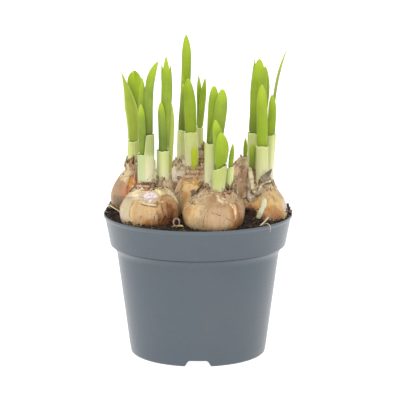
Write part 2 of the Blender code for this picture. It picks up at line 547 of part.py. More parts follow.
def leaf_rings(spec):
    # straight in the sheath, then an even bend to the tip
    shoot = SHOOTS[spec["shoot"]]
    foot, top = np.array(shoot["foot"]), np.array(shoot["top"])
    slope = (top - foot) / (top[2] - foot[2])
    width, normal = facing(shoot["face"] + spec.get("turn", 0.0))
    shift = normal * spec["out"] + width * spec["side"]
    tip = np.array(spec["tip"])
    half_low, half_free, half_widest = spec["half"]
    cup_low, cup_high = spec["cup"]
    lip = spec.get("lip", top[2] - shoot.get("step", 0.0) - abs(shoot["tilt"]) * shoot["top_half"][0])
    start = foot + slope * (SHEATH_WALL + GAP) + shift
    leave = foot + slope * (lip - foot[2] - 0.5) + shift
    rise = tip[2] - leave[2]
    bend, bow = spec.get("bend", 2.0), spec.get("bow", 0.0)
    plain = 1.0 - spec["taper"] / rise
    centres, halves, cups, thicks = [start], [half_low], [cup_low], [spec["thick"]]
    for share in leaf_shares(rise, spec["taper"]):
        straight = leave + slope * rise * share
        centre = straight + (tip - straight) * share ** bend + width * bow * math.sin(math.pi * share)
        centre[2] = leave[2] + rise * share
        spread = min(rise * share / WIDENING, 1.0)
        half = half_low + (half_free - half_low) * spread * (2.0 - spread)
        half += (half_widest - half_free) * min(share / plain, 1.0)
        half = max(half * tip_width(rise * (1.0 - share), spec), 0.4)
        centres.append(centre)
        halves.append(half)
        cups.append((cup_low + (cup_high - cup_low) * share) * (half / half_widest) ** 2)
        thicks.append(max(spec["thick"] * (1.0 - 0.3 * share ** 3), 0.66))
    cups[0] = cups[1] = cup_low
    across = 5 if half_widest > 3.2 else 4
    count = len(centres)
    return ribbon_rings(centres, [width] * count, [normal] * count, halves, thicks, cups, across)


def build_leaves(material):
    for name, spec in LEAVES.items():
        points, faces = skin_rings(leaf_rings(spec), mirrored=True)
        make_object("leaf_" + name, points, faces, material)


def sheath_half(spec, share):
    low, high = np.array(spec["foot_half"]), np.array(spec["top_half"])
    return low + (high - low) * share


def sheath_lip(spec, angle, seed):
    # height of the lip round the sheath: tilted, ragged, and stepped where one side stands higher
    half = spec["top_half"][0]
    across = math.cos(angle)
    rise = spec["tilt"] * across * half + spec["ragged"] * ragged(angle, seed)
    step = spec.get("step", 0.0)
    if step:
        share = min(max((across + 0.3) / 0.5, 0.0), 1.0)
        rise += step * (2.0 * share * share * (3.0 - 2.0 * share) - 1.0)
    return rise


def oval(centre, half, degrees, angles, heights):
    # an ellipse whose wide way follows the shoot's facing
    width, normal = facing(degrees)
    across, deep = half[0] * np.cos(angles), half[1] * np.sin(angles)
    points = centre + np.outer(across, width) - np.outer(deep, normal)
    points[:, 2] = heights
    return points


def sheath_rings(spec, seed):
    # out and up, over the lip, then down inside to the floor
    foot, top = np.array(spec["foot"]), np.array(spec["top"])
    angles = circle_angles(SHEATH_STEPS)
    lip = np.array([sheath_lip(spec, a, seed) for a in angles])
    floor = SHEATH_WALL / (top[2] - foot[2])
    rings = []
    levels = ((0.0, 0.0), (0.45, 0.0), (0.8, 0.0), (1.0, 0.0), (1.0, SHEATH_WALL), (0.8, SHEATH_WALL),
              (floor, SHEATH_WALL))
    for share, inset in levels:
        centre = foot + (top - foot) * share
        half = sheath_half(spec, share) - inset
        follow = 1.0 if share == 1.0 else (0.45 if share == 0.8 and "step" in spec else 0.0)
        rings.append(oval(centre, half, spec["face"], angles, centre[2] + follow * lip))
    return rings


def build_sheaths(material):
    for number, (name, spec) in enumerate(SHOOTS.items()):
        points, faces = skin_rings(sheath_rings(spec, number * 1.3))
        make_object("sheath_" + name, points, faces, material)


def socket_solid(name, spec):
    # a plain hole for the foot of a sheath, open above the neck
    foot, top = np.array(spec["foot"]), np.array(spec["top"])
    slope = (top - foot) / (top[2] - foot[2])
    rings = []
    for rise in (-GAP, SPROUT_HOLE):
        centre = foot + slope * rise
        half = sheath_half(spec, max(rise, 0.0) / (top[2] - foot[2])) + GAP
        rings.append(oval(centre, half, spec["face"], circle_angles(SHEATH_STEPS), centre[2]))
    points, faces = skin_rings(rings)
    return make_object(name, points, faces, None)


def sprout_rings(spec, grow, rise_limit=None):
    # a small blade that stands straight from its hole; grown and cut short it is the hole itself
    foot, tip = np.array(spec["foot"]), np.array(spec["tip"])
    width, normal = facing(spec["face"])
    rise = tip[2] - foot[2]
    centres, halves, thicks = [], [], []
    levels = (0.0, 0.3, 0.55, 0.75, 0.88, 0.96, 1.0) if rise_limit is None else (0.0, rise_limit / rise)
    for share in levels:
        centre = foot + (tip - foot) * share
        if grow and share == 0.0:
            centre = centre - (tip - foot) / rise * grow
        half_low, half_high = spec["half"]
        half = (half_low + (half_high - half_low) * min(share * 2.0, 1.0))
        if rise_limit is None:
            half *= tip_width(rise * (1.0 - share), spec)
        centres.append(centre)
        halves.append(max(half, 0.4))
        thicks.append(max(spec["thick"] * (1.0 - 0.35 * share ** 3), 0.7))
    count = len(centres)
    return ribbon_rings(centres, [width] * count, [normal] * count, halves, thicks, [0.0] * count, 4, grow)


def build_sprouts(material):
    for name, spec in SPROUTS.items():
        points, faces = skin_rings(sprout_rings(spec, 0.0), mirrored=True)
        make_object("leaf_" + name, points, faces, material)


def skin_point(spec, azimuth, z, lift):
    # a point on the bulb's skin, raised by lift, with the way out from the skin there
    turn = math.radians(azimuth)
    centre = bulb_centre(spec, z)
    outward = np.array([math.cos(turn), math.sin(turn), 0.0])
    radius = bulb_radius(spec, z)
    slope = (bulb_radius(spec, z + 0.5) - bulb_radius(spec, z - 0.5))
    normal = outward - np.array([0.0, 0.0, slope])
    normal /= np.linalg.norm(normal)
    point = np.array([centre[0], centre[1], z]) + outward * radius * bulb_wobble(spec, turn) + normal * lift
    return point, normal


def path_ribbon(points, normals, half_widths, thick, across):
    # a strip along a path, square to its own direction and to the normals
    centres = [np.array(point, float) for point in points]
    widths, upright = [], []
    for number, centre in enumerate(centres):
        ahead = centres[min(number + 1, len(centres) - 1)] - centres[max(number - 1, 0)]
        ahead /= np.linalg.norm(ahead)
        normal = normals[number] - ahead * float(np.dot(normals[number], ahead))
        normal /= np.linalg.norm(normal)
        upright.append(normal)
        widths.append(np.cross(ahead, normal))
    count = len(centres)
    return ribbon_rings(centres, widths, upright, half_widths, [thick] * count, [0.0] * count, across)


def tatter_solid(name, bulb, spec):
    # a torn strip of skin whose underside is sunk in the bulb
    azimuths, heights, lifts = zip(*spec["path"])
    shares = np.linspace(0.0, 1.0, len(azimuths))
    points, normals, halves = [], [], []
    for share in np.linspace(0.0, 1.0, 5):
        azimuth = float(np.interp(share, shares, azimuths))
        z = float(np.interp(share, shares, heights))
        lift = float(np.interp(share, shares, lifts))
        point, normal = skin_point(bulb, azimuth, z, lift - TATTER_THICK * 0.4)
        points.append(point)
        normals.append(normal)
        halves.append(spec["width"] / 2.0 * (0.55 + 0.45 * math.sin(math.pi * (0.15 + 0.7 * share))))
    rings = path_ribbon(points, normals, halves, TATTER_THICK, 4)
    points, faces = skin_rings(rings, mirrored=True)
    return make_object(name, points, faces, None)


def build_bulbs(materials):
    socket_owner = {
        "left_back": ("left_back",), "left_front": ("left_front", "left_front_right"), "middle_back": ("middle_back",),
        "centre": ("centre",), "back": ("back",), "front": ("front", "front_left", "front_right"),
        "right_back": (), "right": ("right", "right_left", "right_right"),
    }
    for name, spec in BULBS.items():
        rings, low, high = bulb_rings(spec, 0.0, upper=True)
        points, faces = skin_rings(rings, low, high)
        bulb = make_object("bulb_" + name, points, faces, materials[name])
        added = [neck_solid("neck_%s_%d" % (name, number), neck, spec["seed"] + number * 2.1)
                 for number, neck in enumerate(NECKS[name])]
        added += [tatter_solid("tatter_%s_%d" % (name, number), spec, tatter)
                  for number, tatter in enumerate(TATTERS.get(name, ()))]
        apply_boolean(bulb, "UNION", added, "skins_" + name)
        sockets = [socket_solid("socket_" + shoot, SHOOTS[shoot]) for shoot in socket_owner[name]]
        for sprout, own in SPROUTS.items():
            if own["bulb"] == name:
                points, faces = skin_rings(sprout_rings(own, GAP, SPROUT_HOLE), mirrored=True)
                sockets.append(make_object("hole_" + sprout, points, faces, None))
        apply_boolean(bulb, "DIFFERENCE", sockets, "sockets_" + name)
        clean_material(bulb, materials[name])


def clean_material(item, material):
    # the joined mesh keeps one material
    item.data.materials.clear()
    item.data.materials.append(material)
    item.data.polygons.foreach_set("material_index", [0] * len(item.data.polygons))


def build_side_shoot(material):
    # a pale strap that lies down the front of the right bulb
    bulb = BULBS[SIDE_SHOOT["bulb"]]
    azimuths, heights = zip(*SIDE_SHOOT["path"])
    shares = np.linspace(0.0, 1.0, len(azimuths))
    points, normals, halves = [], [], []
    for share in np.linspace(0.0, 1.0, 7):
        z = float(np.interp(share, shares, heights))
        point, normal = skin_point(bulb, float(np.interp(share, shares, azimuths)), z, GAP + SIDE_SHOOT["thick"] * 0.5 + SIDE_SHOOT_LIFT)
        points.append(point)
        normals.append(normal)
        halves.append(SIDE_SHOOT["width"] / 2.0 * (0.7 + 0.3 * math.sin(math.pi * min(share + 0.15, 1.0))))
    rings = path_ribbon(points, normals, halves, SIDE_SHOOT["thick"], 4)
    points, faces = skin_rings(rings, mirrored=True)
    make_object("side_shoot", points, faces, material)


def build_loose_bit(name, spec, material):
    # a thin strip that keeps its own width along a bent path
    path = np.array(spec["path"], float)
    shares = np.linspace(0.0, 1.0, len(path))
    dense = [np.array([np.interp(share, shares, path[:, axis]) for axis in range(3)]) for share in np.linspace(0, 1, 7)]
    outward = [np.array([point[0], point[1], 40.0]) for point in dense]
    normals = [direction / np.linalg.norm(direction) for direction in outward]
    rings = path_ribbon(dense, normals, [spec["width"] / 2.0] * len(dense), spec["thick"], 3)
    points, faces = skin_rings(rings, mirrored=True)
    make_object(name, points, faces, material)


def main():
    clear_scene()
    pot_plastic = make_material("pot_plastic", (0.135, 0.16, 0.185), 0.5)
    compost = make_material("compost", (0.035, 0.02, 0.012), 0.95)
    tan_skin = make_material("tan_skin", (0.62, 0.42, 0.23), 0.5)
    orange_skin = make_material("orange_skin", (0.6, 0.32, 0.12), 0.5)
    cream_skin = make_material("cream_skin", (0.72, 0.6, 0.42), 0.55)
    sheath_skin = make_material("sheath_skin", (0.66, 0.71, 0.4), 0.5)
    leaf_green = make_material("leaf_green", (0.22, 0.38, 0.03), 0.42)
    dry_fibre = make_material("dry_fibre", (0.7, 0.58, 0.38), 0.8)
    pale_shoot = make_material("pale_shoot", (0.8, 0.76, 0.58), 0.5)
    skins = {
        "left_back": orange_skin, "left_front": tan_skin, "middle_back": cream_skin, "centre": orange_skin,
        "back": tan_skin, "front": tan_skin, "right_back": cream_skin, "right": orange_skin,
    }
    build_pot(pot_plastic)
    build_soil(compost)
    build_bulbs(skins)
    build_sheaths(sheath_skin)
    build_leaves(leaf_green)
    build_sprouts(leaf_green)
    build_side_shoot(pale_shoot)
    build_loose_bit("loose_stick", STICK, dry_fibre)
    build_loose_bit("loose_fibre", FIBRE, dry_fibre)
    build_loose_bit("loose_straw", STRAW, dry_fibre)
    for item in bpy.data.objects:
        clean_material(item, item.data.materials[0])


main()
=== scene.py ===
import json
import math

import bpy
import numpy as np
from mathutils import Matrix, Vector

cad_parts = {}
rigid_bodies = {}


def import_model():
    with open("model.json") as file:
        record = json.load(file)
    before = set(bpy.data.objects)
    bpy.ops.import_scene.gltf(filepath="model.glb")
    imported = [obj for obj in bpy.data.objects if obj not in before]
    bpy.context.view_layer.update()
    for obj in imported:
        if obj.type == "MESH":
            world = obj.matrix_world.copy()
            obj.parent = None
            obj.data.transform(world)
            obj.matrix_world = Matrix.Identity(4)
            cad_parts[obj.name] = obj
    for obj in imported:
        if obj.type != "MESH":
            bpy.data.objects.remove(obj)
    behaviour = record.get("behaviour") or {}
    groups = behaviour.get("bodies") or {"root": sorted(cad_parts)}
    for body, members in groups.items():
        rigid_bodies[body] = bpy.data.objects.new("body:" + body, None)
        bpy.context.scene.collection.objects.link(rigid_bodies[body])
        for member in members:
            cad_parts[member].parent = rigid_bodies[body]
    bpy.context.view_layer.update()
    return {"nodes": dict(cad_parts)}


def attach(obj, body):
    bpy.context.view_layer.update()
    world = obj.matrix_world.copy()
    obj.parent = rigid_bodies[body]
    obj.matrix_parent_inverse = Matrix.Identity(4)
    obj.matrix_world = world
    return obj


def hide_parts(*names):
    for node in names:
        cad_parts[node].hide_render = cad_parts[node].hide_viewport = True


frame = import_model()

mm = 0.001
print("frame loaded, nodes:", len(frame["nodes"]))


# Tools for shapes and patterns

def tone(red, green, blue):
    # a colour as it looks on screen, 0 to 255, turned to linear light
    screen = np.array([red, green, blue]) / 255.0
    linear = np.where(screen <= 0.04045, screen / 12.92, ((screen + 0.055) / 1.055) ** 2.4)
    return (float(linear[0]), float(linear[1]), float(linear[2]), 1.0)


def ease(low, high, value):
    # 0 below low, 1 above high, 3t^2 - 2t^3 between them
    share = np.clip((value - low) / (high - low), 0.0, 1.0)
    return share * share * (3.0 - 2.0 * share)


def between(span, share):
    # what lies that share of the way along a span
    return span[0] + (span[1] - span[0]) * share


def roundAngles(count):
    # count angles, evenly round a ring
    return np.arange(count) * 2.0 * math.pi / count


def pointsAt(x, y, z):
    # points from their coordinates, which are spread to one shape
    return np.stack(np.broadcast_arrays(x, y, z), axis=-1)


def named(keys, row):
    # a row of values under the keys; a dictionary at the row's end adds the rarer settings
    return dict(zip(keys.split(), row), **(row[-1] if isinstance(row[-1], dict) else {}))


def cellNoise(places, size, seed=0.0):
    # value noise from -1 to 1: hashed values at the eight corners of a cell, blended by 3t^2 - 2t^3
    grid = np.asarray(places, float) / size + 500.0 + seed * 13.37
    cell = np.floor(grid)
    part = grid - cell
    blend = part * part * (3.0 - 2.0 * part)
    total = np.zeros(grid.shape[:-1])
    for corner in range(8):
        step = np.array([corner & 1, (corner >> 1) & 1, corner >> 2])
        spot = (cell + step).astype(np.uint32)
        mixed = spot[..., 0] * np.uint32(73856093)
        mixed = mixed ^ (spot[..., 1] * np.uint32(19349663)) ^ (spot[..., 2] * np.uint32(83492791))
        mixed = (mixed ^ (mixed >> np.uint32(13))) * np.uint32(1274126177)
        mixed = mixed ^ (mixed >> np.uint32(16))
        share = np.prod(np.where(step == 1, blend, 1.0 - blend), axis=-1)
        total += share * (mixed / 2147483647.5 - 1.0)
    return total


def layeredNoise(places, size, seed=0.0, layers=3):
    # each layer is half as wide and 0.55 as strong as the one before it
    total, strength = 0.0, 1.0
    for layer in range(layers):
        total = total + strength * cellNoise(places, size / 2.0 ** layer, seed + layer * 3.1)
        strength *= 0.55
    return total


def drawnNoise(places, length, size, seed, layers):
    # noise whose third way counts only as much as length says, so that it is drawn out along it
    return layeredNoise(places * np.array([1.0, 1.0, length]), size, seed, layers)


def ringNoise(angles, turns, seed, layers=3):
    # noise round a ring, the same where the ring closes: turns is how many swells go round
    circle = np.stack([np.cos(angles), np.sin(angles), np.full_like(angles, 0.3 * seed)], axis=-1)
    return layeredNoise(circle * turns / 6.0, 1.0, seed, layers)


def facing(degrees):
    # the level way across and the way out of a shoot that faces that azimuth
    turn = math.radians(degrees)
    return np.array([-math.sin(turn), math.cos(turn), 0.0]), np.array([math.cos(turn), math.sin(turn), 0.0])


def tintOf(colour):
    return np.array(tone(*colour)[:3])


def paintOver(tints, *layers):
    # the tints go over to each colour in turn, as far as its mask says
    for mask, colour in layers:
        tints = tints + (tintOf(colour) - tints) * np.asarray(mask)[..., None]
    return tints


def ringPart(rings, looped=False, masks=None, grain=None, paint=0, tints=None):
    # rings of points, row by row, wrapped round by four-sided faces. The rows end in a pole each, or run on
    # into the first row where looped. Masks are numbers for each point, tints colours in linear light, and
    # grain is the pattern's own place in mm.
    rows, columns = rings.shape[:2]
    row = np.arange(rows if looped else rows - 1)[:, None]
    column = np.arange(columns)[None, :]
    above, beside = (row + 1) % rows, (column + 1) % columns
    quads = np.stack([row * columns + column, row * columns + beside, above * columns + beside,
                      above * columns + column], axis=-1).reshape(-1, 4)
    ends = [] if looped else [slice(0, columns), slice((rows - 1) * columns, rows * columns)]

    def spread(values, shape):
        values = np.broadcast_to(values, (rows, columns) + shape).reshape((-1,) + shape)
        return np.concatenate([values] + [values[end].mean(axis=0)[None] for end in ends])

    triangles = np.zeros((0, 3), int)
    if not looped:
        first, after, last = column[0], beside[0], (rows - 1) * columns
        poles = np.full(columns, rows * columns)
        triangles = np.concatenate([np.stack([after, first, poles], axis=-1),
                                    np.stack([last + first, last + after, poles + 1], axis=-1)])
    return {"points": spread(rings, (3,)), "quads": quads, "triangles": triangles,
            "masks": {name: spread(value, ()) for name, value in (masks or {}).items()},
            "grain": spread(rings if grain is None else grain, (3,)),
            "tint": spread(np.zeros(3) if tints is None else tints, (3,)), "paint": paint}


def nodeOf(name):
    # the CAD node that a piece stands for has the piece's name, with underscores
    return "".join("_" + letter.lower() if letter.isupper() or letter.isdigit() else letter
                   for letter in name)


def addObject(name, data):
    thing = bpy.data.objects.new(name, data)
    bpy.context.scene.collection.objects.link(thing)
    return thing


def makePiece(name, parts, materials, replaces=True):
    # joins the parts in one mesh in metres, with its masks, grain and tint as attributes
    counts = [len(part["points"]) for part in parts]
    faces, paints = [], []
    for part, start in zip(parts, np.cumsum([0] + counts)):
        faces += (part["quads"] + start).tolist() + (part["triangles"] + start).tolist()
        paints += [part["paint"]] * (len(faces) - len(paints))
    mesh = bpy.data.meshes.new(name)
    mesh.from_pydata(np.concatenate([part["points"] for part in parts]) * mm, [], faces)
    mesh.polygons.foreach_set("use_smooth", [True] * len(faces))
    mesh.polygons.foreach_set("material_index", paints)
    for label in ("grain", "tint"):
        spread = mesh.attributes.new(label, "FLOAT_VECTOR", "POINT")
        spread.data.foreach_set("vector", np.concatenate([part[label]
                                                          for part in parts]).astype(np.float32).ravel())
    for label in sorted({label for part in parts for label in part["masks"]}):
        values = [part["masks"].get(label, np.zeros(count)) for part, count in zip(parts, counts)]
        mask = mesh.attributes.new(label, "FLOAT", "POINT")
        mask.data.foreach_set("value", np.concatenate(values).astype(np.float32))
    for material in materials:
        mesh.materials.append(material)
    mesh.update()
    piece = addObject(name, mesh)
    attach(piece, "root")
    if replaces:
        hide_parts(nodeOf(name))
    return piece


# Tools for materials

def put(tree, value, socket):
    # a socket is linked, and anything else is set
    if isinstance(value, bpy.types.NodeSocket):
        tree.links.new(value, socket)
    else:
        socket.default_value = value


def addNode(tree, kind, values=None, **settings):
    node = tree.nodes.new("ShaderNode" + kind)
    for key, value in settings.items():
        setattr(node, key, value)
    for key, value in (values or {}).items():
        put(tree, value, node.inputs[key])
    return node


def mathOf(tree, operation, first, second=0.0, clamp=False):
    return addNode(tree, "Math", {0: first, 1: second}, operation=operation, use_clamp=clamp).outputs[0]


def mixOf(tree, share, first, second, blend="MIX"):
    node = addNode(tree, "Mix", {0: share, 6: first, 7: second}, data_type="RGBA", blend_type=blend)
    return node.outputs[2]


def toneMix(tree, share, first, second):
    return mixOf(tree, share, tone(*first), tone(*second))


def rangeOf(tree, value, low, high, start=0.0, end=1.0):
    node = addNode(tree, "MapRange", {"Value": value, "From Min": low, "From Max": high, "To Min": start,
                                      "To Max": end}, interpolation_type="SMOOTHSTEP")
    return node.outputs[0]


def noiseOf(tree, place, scale, detail=3.0, rough=0.55):
    return addNode(tree, "TexNoise", {"Vector": place, "Scale": scale, "Detail": detail, "Roughness": rough}
                   ).outputs["Fac"]


def maskOf(tree, name):
    return addNode(tree, "Attribute", attribute_name=name).outputs["Fac"]


def grainOf(tree):
    return addNode(tree, "Attribute", attribute_name="grain").outputs["Vector"]


def tintsOf(tree):
    return addNode(tree, "Attribute", attribute_name="tint").outputs["Color"]


def placeOf(tree):
    return addNode(tree, "TexCoord").outputs["Object"]


def timesOf(tree, value, share):
    return value if share == 1.0 else mathOf(tree, "MULTIPLY", value, share)


def sumOf(tree, *terms):
    # values times their shares, added up
    total, *others = [timesOf(tree, value, share) for value, share in terms]
    for other in others:
        total = mathOf(tree, "ADD", total, other)
    return total


def overlay(tree, colour, tones, *layers):
    # each layer is a mask or a mask's name, the share that it counts for, and the name of the tone that it
    # brings, or else three factors that the colour is multiplied by
    for mask, share, paint in layers:
        mask = timesOf(tree, maskOf(tree, mask) if isinstance(mask, str) else mask, share)
        if isinstance(paint, str):
            colour = mixOf(tree, mask, colour, tone(*tones[paint]))
        else:
            colour = mixOf(tree, mask, colour, (*paint, 1.0), "MULTIPLY")
    return colour


def placeGroup(tree, group, *values):
    # an effect built once, with this material's own values, in the order of its inputs
    node = tree.nodes.new("ShaderNodeGroup")
    node.node_tree = group
    for socket, value in zip(node.inputs, values):
        put(tree, value, socket)
    return node.outputs[0]


def newGroup(name, inputs):
    # a shared effect with named inputs and one output, a mask; an input without a number is a place
    tree = bpy.data.node_groups.new(name, "ShaderNodeTree")
    for label, value in inputs.items():
        kind = "NodeSocketVector" if value is None else "NodeSocketFloat"
        socket = tree.interface.new_socket(label, in_out="INPUT", socket_type=kind)
        if value is not None:
            socket.default_value = value
    tree.interface.new_socket("Mask", in_out="OUTPUT", socket_type="NodeSocketFloat")
    return tree, tree.nodes.new("NodeGroupInput").outputs, tree.nodes.new("NodeGroupOutput").inputs["Mask"]


def buildPatches():
    # soft patches: noise cut between two levels
    tree, given, mask = newGroup("patches", {"Place": None, "Scale": 100.0, "Low": 0.4, "High": 0.7})
    noise = noiseOf(tree, given["Place"], given["Scale"], 4.0, 0.6)
    put(tree, rangeOf(tree, noise, given["Low"], given["High"]), mask)
    return tree


def buildStreaks():
    # lines that follow the growth: noise of the grain, drawn out along its third way
    tree, given, mask = newGroup("streaks", {"Grain": None, "Fine": 1.0, "Long": 0.1, "Low": 0.45,
                                             "High": 0.65})
    scale = addNode(tree, "CombineXYZ", {"X": given["Fine"], "Y": given["Fine"],
                                         "Z": given["Long"]}).outputs[0]
    drawn = addNode(tree, "VectorMath", {0: given["Grain"], 1: scale}, operation="MULTIPLY").outputs[0]
    put(tree, rangeOf(tree, noiseOf(tree, drawn, 1.0, 3.0, 0.6), given["Low"], given["High"]), mask)
    return tree


def buildSpecks():
    # scattered crumbs of earth: small cells, kept only where a wider noise is high
    tree, given, mask = newGroup("specks", {"Place": None, "Scale": 900.0, "Amount": 0.5})
    cells = addNode(tree, "TexVoronoi", {"Vector": given["Place"],
                                         "Scale": given["Scale"]}).outputs["Distance"]
    wide = noiseOf(tree, given["Place"], timesOf(tree, given["Scale"], 0.22), 3.0)
    limit = mathOf(tree, "SUBTRACT", 0.86, timesOf(tree, given["Amount"], 0.6))
    kept = mathOf(tree, "MULTIPLY", mathOf(tree, "SUBTRACT", wide, limit), 9.0, clamp=True)
    put(tree, timesOf(tree, rangeOf(tree, cells, 0.34, 0.2), kept), mask)
    return tree


def newMaterial(name):
    material = bpy.data.materials.new(name)
    material.use_nodes = True
    return material, material.node_tree


def finish(material, colour, roughness, height, depth, constants=None):
    # colour, roughness and a bump whose depth is in millimetres, then what is the same all over the surface
    tree = material.node_tree
    inputs = tree.nodes["Principled BSDF"].inputs
    put(tree, colour, inputs["Base Color"])
    put(tree, roughness, inputs["Roughness"])
    bump = addNode(tree, "Bump", {"Height": height, "Distance": depth * mm, "Strength": 1.0})
    put(tree, bump.outputs[0], inputs["Normal"])
    for label, value in (constants or {}).items():
        inputs[label].default_value = value
    return material


patches, streaks, specks = buildPatches(), buildStreaks(), buildSpecks()


# Camera, light and floor

view = {
    "target": (1.27, 0.0, 97.9),
    "away": 1300.0,
    "raised": 11.15,
    "lens": 184.28,
    "filmWidth": 36.0,
    "farthest": 20.0,
}


def buildCamera():
    # looks at the target from the front, a little from above
    lens = bpy.data.cameras.new("camera")
    lens.lens = view["lens"]
    lens.sensor_width = view["filmWidth"]
    lens.clip_end = view["farthest"]
    camera = addObject("camera", lens)
    tilt = math.radians(view["raised"])
    back = Vector((0.0, -math.cos(tilt), math.sin(tilt)))
    camera.location = (Vector(view["target"]) + back * view["away"]) * mm
    camera.rotation_euler = back.to_track_quat("Z", "Y").to_euler()
    bpy.context.scene.camera = camera


lights = {
    "world": 1.0, "target": (0.0, 0.0, 0.1),
    "floorGlow": 0.95, "floorReach": 6.0, "floorTone": (0.45, 0.45, 0.45, 1.0),
    "key": {"place": (-0.9, -1.0, 1.7), "size": 1.2, "power": 6.5},
    "front": {"place": (0.2, -2.0, 0.6), "size": 1.4, "power": 6.5},
}


def buildLight(name, spec):
    # a square soft light that faces the pot
    lamp = bpy.data.lights.new(name, "AREA")
    lamp.size, lamp.energy = spec["size"], spec["power"]
    holder = addObject(name, lamp)
    holder.location = Vector(spec["place"])
    holder.rotation_euler = (holder.location - Vector(lights["target"])).to_track_quat("Z", "Y").to_euler()


def buildStudio():
    # white all round, two soft lights and a white floor lit from below, as on a light table
    scene = bpy.context.scene
    world = bpy.data.worlds.new("studio")
    world.use_nodes = True
    white = (1.0, 1.0, 1.0, 1.0)
    world.node_tree.nodes["Background"].inputs["Color"].default_value = white
    world.node_tree.nodes["Background"].inputs["Strength"].default_value = lights["world"]
    scene.world = world
    scene.view_settings.view_transform = "Standard"
    for name in ("key", "front"):
        buildLight(name, lights[name])
    reach = lights["floorReach"]
    mesh = bpy.data.meshes.new("floor")
    mesh.from_pydata([(-reach, -reach, 0.0), (reach, -reach, 0.0), (reach, reach, 0.0), (-reach, reach, 0.0)],
                     [],
                     [(0, 1, 2, 3)])
    material, tree = newMaterial("floorWhite")
    for label, value in {"Base Color": lights["floorTone"], "Roughness": 0.9, "Emission Color": white,
                         "Emission Strength": lights["floorGlow"]}.items():
        tree.nodes["Principled BSDF"].inputs[label].default_value = value
    mesh.materials.append(material)
    floor = addObject("floor", mesh)


# Pot

pot = {
    "profile": [    # radius, height and how far each corner is rounded
        (38.9, 4.6, 0.3), (39.4, 0.0, 0.4), (43.1, 0.0, 4.3), (51.5, 64.6, 0.8), (51.95, 66.1, 0.6),
        (52.8, 67.6, 0.5), (53.9, 69.0, 0.5), (54.4, 69.75, 0.2), (54.2, 70.05, 0.1), (54.4, 70.3, 0.1),
        (55.65, 70.35, 0.15), (55.85, 71.0, 0.2), (59.0, 87.5, 0.4), (59.95, 88.5, 0.3), (60.0, 89.7, 0.05),
        (59.8, 90.0, 0.12), (59.2, 89.98, 0.15), (58.95, 88.6, 0.3), (57.9, 86.0, 0.6), (54.6, 71.0, 1.2),
        (53.3, 68.8, 1.2), (50.2, 65.8, 1.0), (42.7, 9.0, 0.8), (41.7, 6.7, 0.7), (40.4, 5.8, 0.8),
    ],
    "notchEdge": ([4.4, 5.6, 6.5, 8.0, 8.35, 8.7], [4.2, 4.05, 3.2, 0.8, 0.25, 0.0]),
    "notches": (-90, 0, 90, 180),
    # extra points each side of a notch
    "notchColumns": (4.4, 5.0, 5.6, 6.0, 6.5, 7.0, 7.5, 8.0, 8.35, 8.7),
    "footRadius": 43.0, "footInner": 39.0, "footTop": 4.3, "wallSlope": 0.116,
    # where wall and collar meet, with painted shade under it, and the rim, which gets a painted highlight
    "creaseZ": 69.9, "rimZ": (86.0, 90.0), "innerRadius": 59.0,
    "steps": 144,
    "holes": (45, 135, 225, 315), "holeRadius": 4.0, "holeCircle": 28.0, "holeSides": 40,
    "drumHeights": (3.0, 7.5),    # what cuts the holes
}


def roundedProfile(profile, steps=4):
    # each corner becomes a short curve between points set back along its two sides
    corners = [np.array(corner[:2], float) for corner in profile]
    result = [corners[0]]
    for before, corner, after, (_, _, reach) in zip(corners, corners[1:], corners[2:], profile[1:]):
        back, ahead = before - corner, after - corner
        backLength, aheadLength = np.linalg.norm(back), np.linalg.norm(ahead)
        reach = min(reach, 0.45 * backLength, 0.45 * aheadLength)
        start, end = corner + back / backLength * reach, corner + ahead / aheadLength * reach
        share = np.linspace(0.0, 1.0, steps)[:, None]
        result += list((1 - share) ** 2 * start + 2 * share * (1 - share) * corner + share ** 2 * end)
    result.append(corners[-1])
    return np.array(result)


def buildPot():
    # the profile turned round the axis; the foot is lifted to the notch outline where a notch is
    footRadius, footTop, capRings = pot["footRadius"], pot["footTop"], 12
    outline = roundedProfile(pot["profile"])
    long = [np.linspace(a, b, 14 if np.linalg.norm(b - a) > 20 else 2)[:-1]
            for a, b in zip(outline, outline[1:])]
    outline = np.concatenate(long + [outline[-1:]])
    inward = np.linspace(1.0, 0.03, capRings)
    under = np.stack([inward[::-1] * outline[0, 0], np.full(capRings, outline[0, 1])], axis=-1)
    inside = np.stack([inward * outline[-1, 0], np.full(capRings, outline[-1, 1])], axis=-1)
    outline = np.concatenate([under[:-1], outline, inside[1:]])
    centres = np.radians(pot["notches"])
    edge = np.arcsin(np.array(pot["notchColumns"]) / footRadius)
    extra = (centres[:, None] + np.concatenate([-edge, edge])[None, :]).ravel()
    angles = np.unique(np.round(np.mod(np.concatenate([roundAngles(pot["steps"]), extra]), 2.0 * math.pi), 4))
    nearest = np.abs(np.mod(angles[:, None] - centres[None, :] + math.pi, 2.0 * math.pi)
                     - math.pi).min(axis=1)
    lift = np.interp(footRadius * np.sin(np.minimum(nearest, 1.5)), *pot["notchEdge"])
    radius, level = outline[:, :1], outline[:, 1:]
    foot = (radius > pot["footInner"]) & (level < footTop)
    height = np.where(foot, np.maximum(level, lift), level + 0.0 * lift)
    slope = np.where(foot, pot["wallSlope"] * np.maximum(lift - level, 0.0) * (radius > footRadius), 0.0)
    wide = radius + slope
    rings = pointsAt(wide * np.cos(angles), wide * np.sin(angles), height)
    within = (radius < pot["innerRadius"]) & (np.arange(len(outline))[:, None] > len(outline) * 0.55)
    # painted shade: a dark band just under the collar's edge, and a fainter one that fades down the wall
    # below
    below = np.clip(pot["creaseZ"] - height, 0.0, None)
    seam = (np.exp(-((height - pot["creaseZ"]) / 0.8) ** 2)
            + 0.3 * np.exp(-below / 13.0) * (below > 0.0)) * ~within
    masks = {"rim": ease(*pot["rimZ"], height), "within": within, "seam": np.minimum(seam, 1.0)}
    piece = makePiece("potShell", [ringPart(rings, masks=masks)], [potPlastic()],
                      replaces=False)
    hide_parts("pot")
    cutDrains(piece)


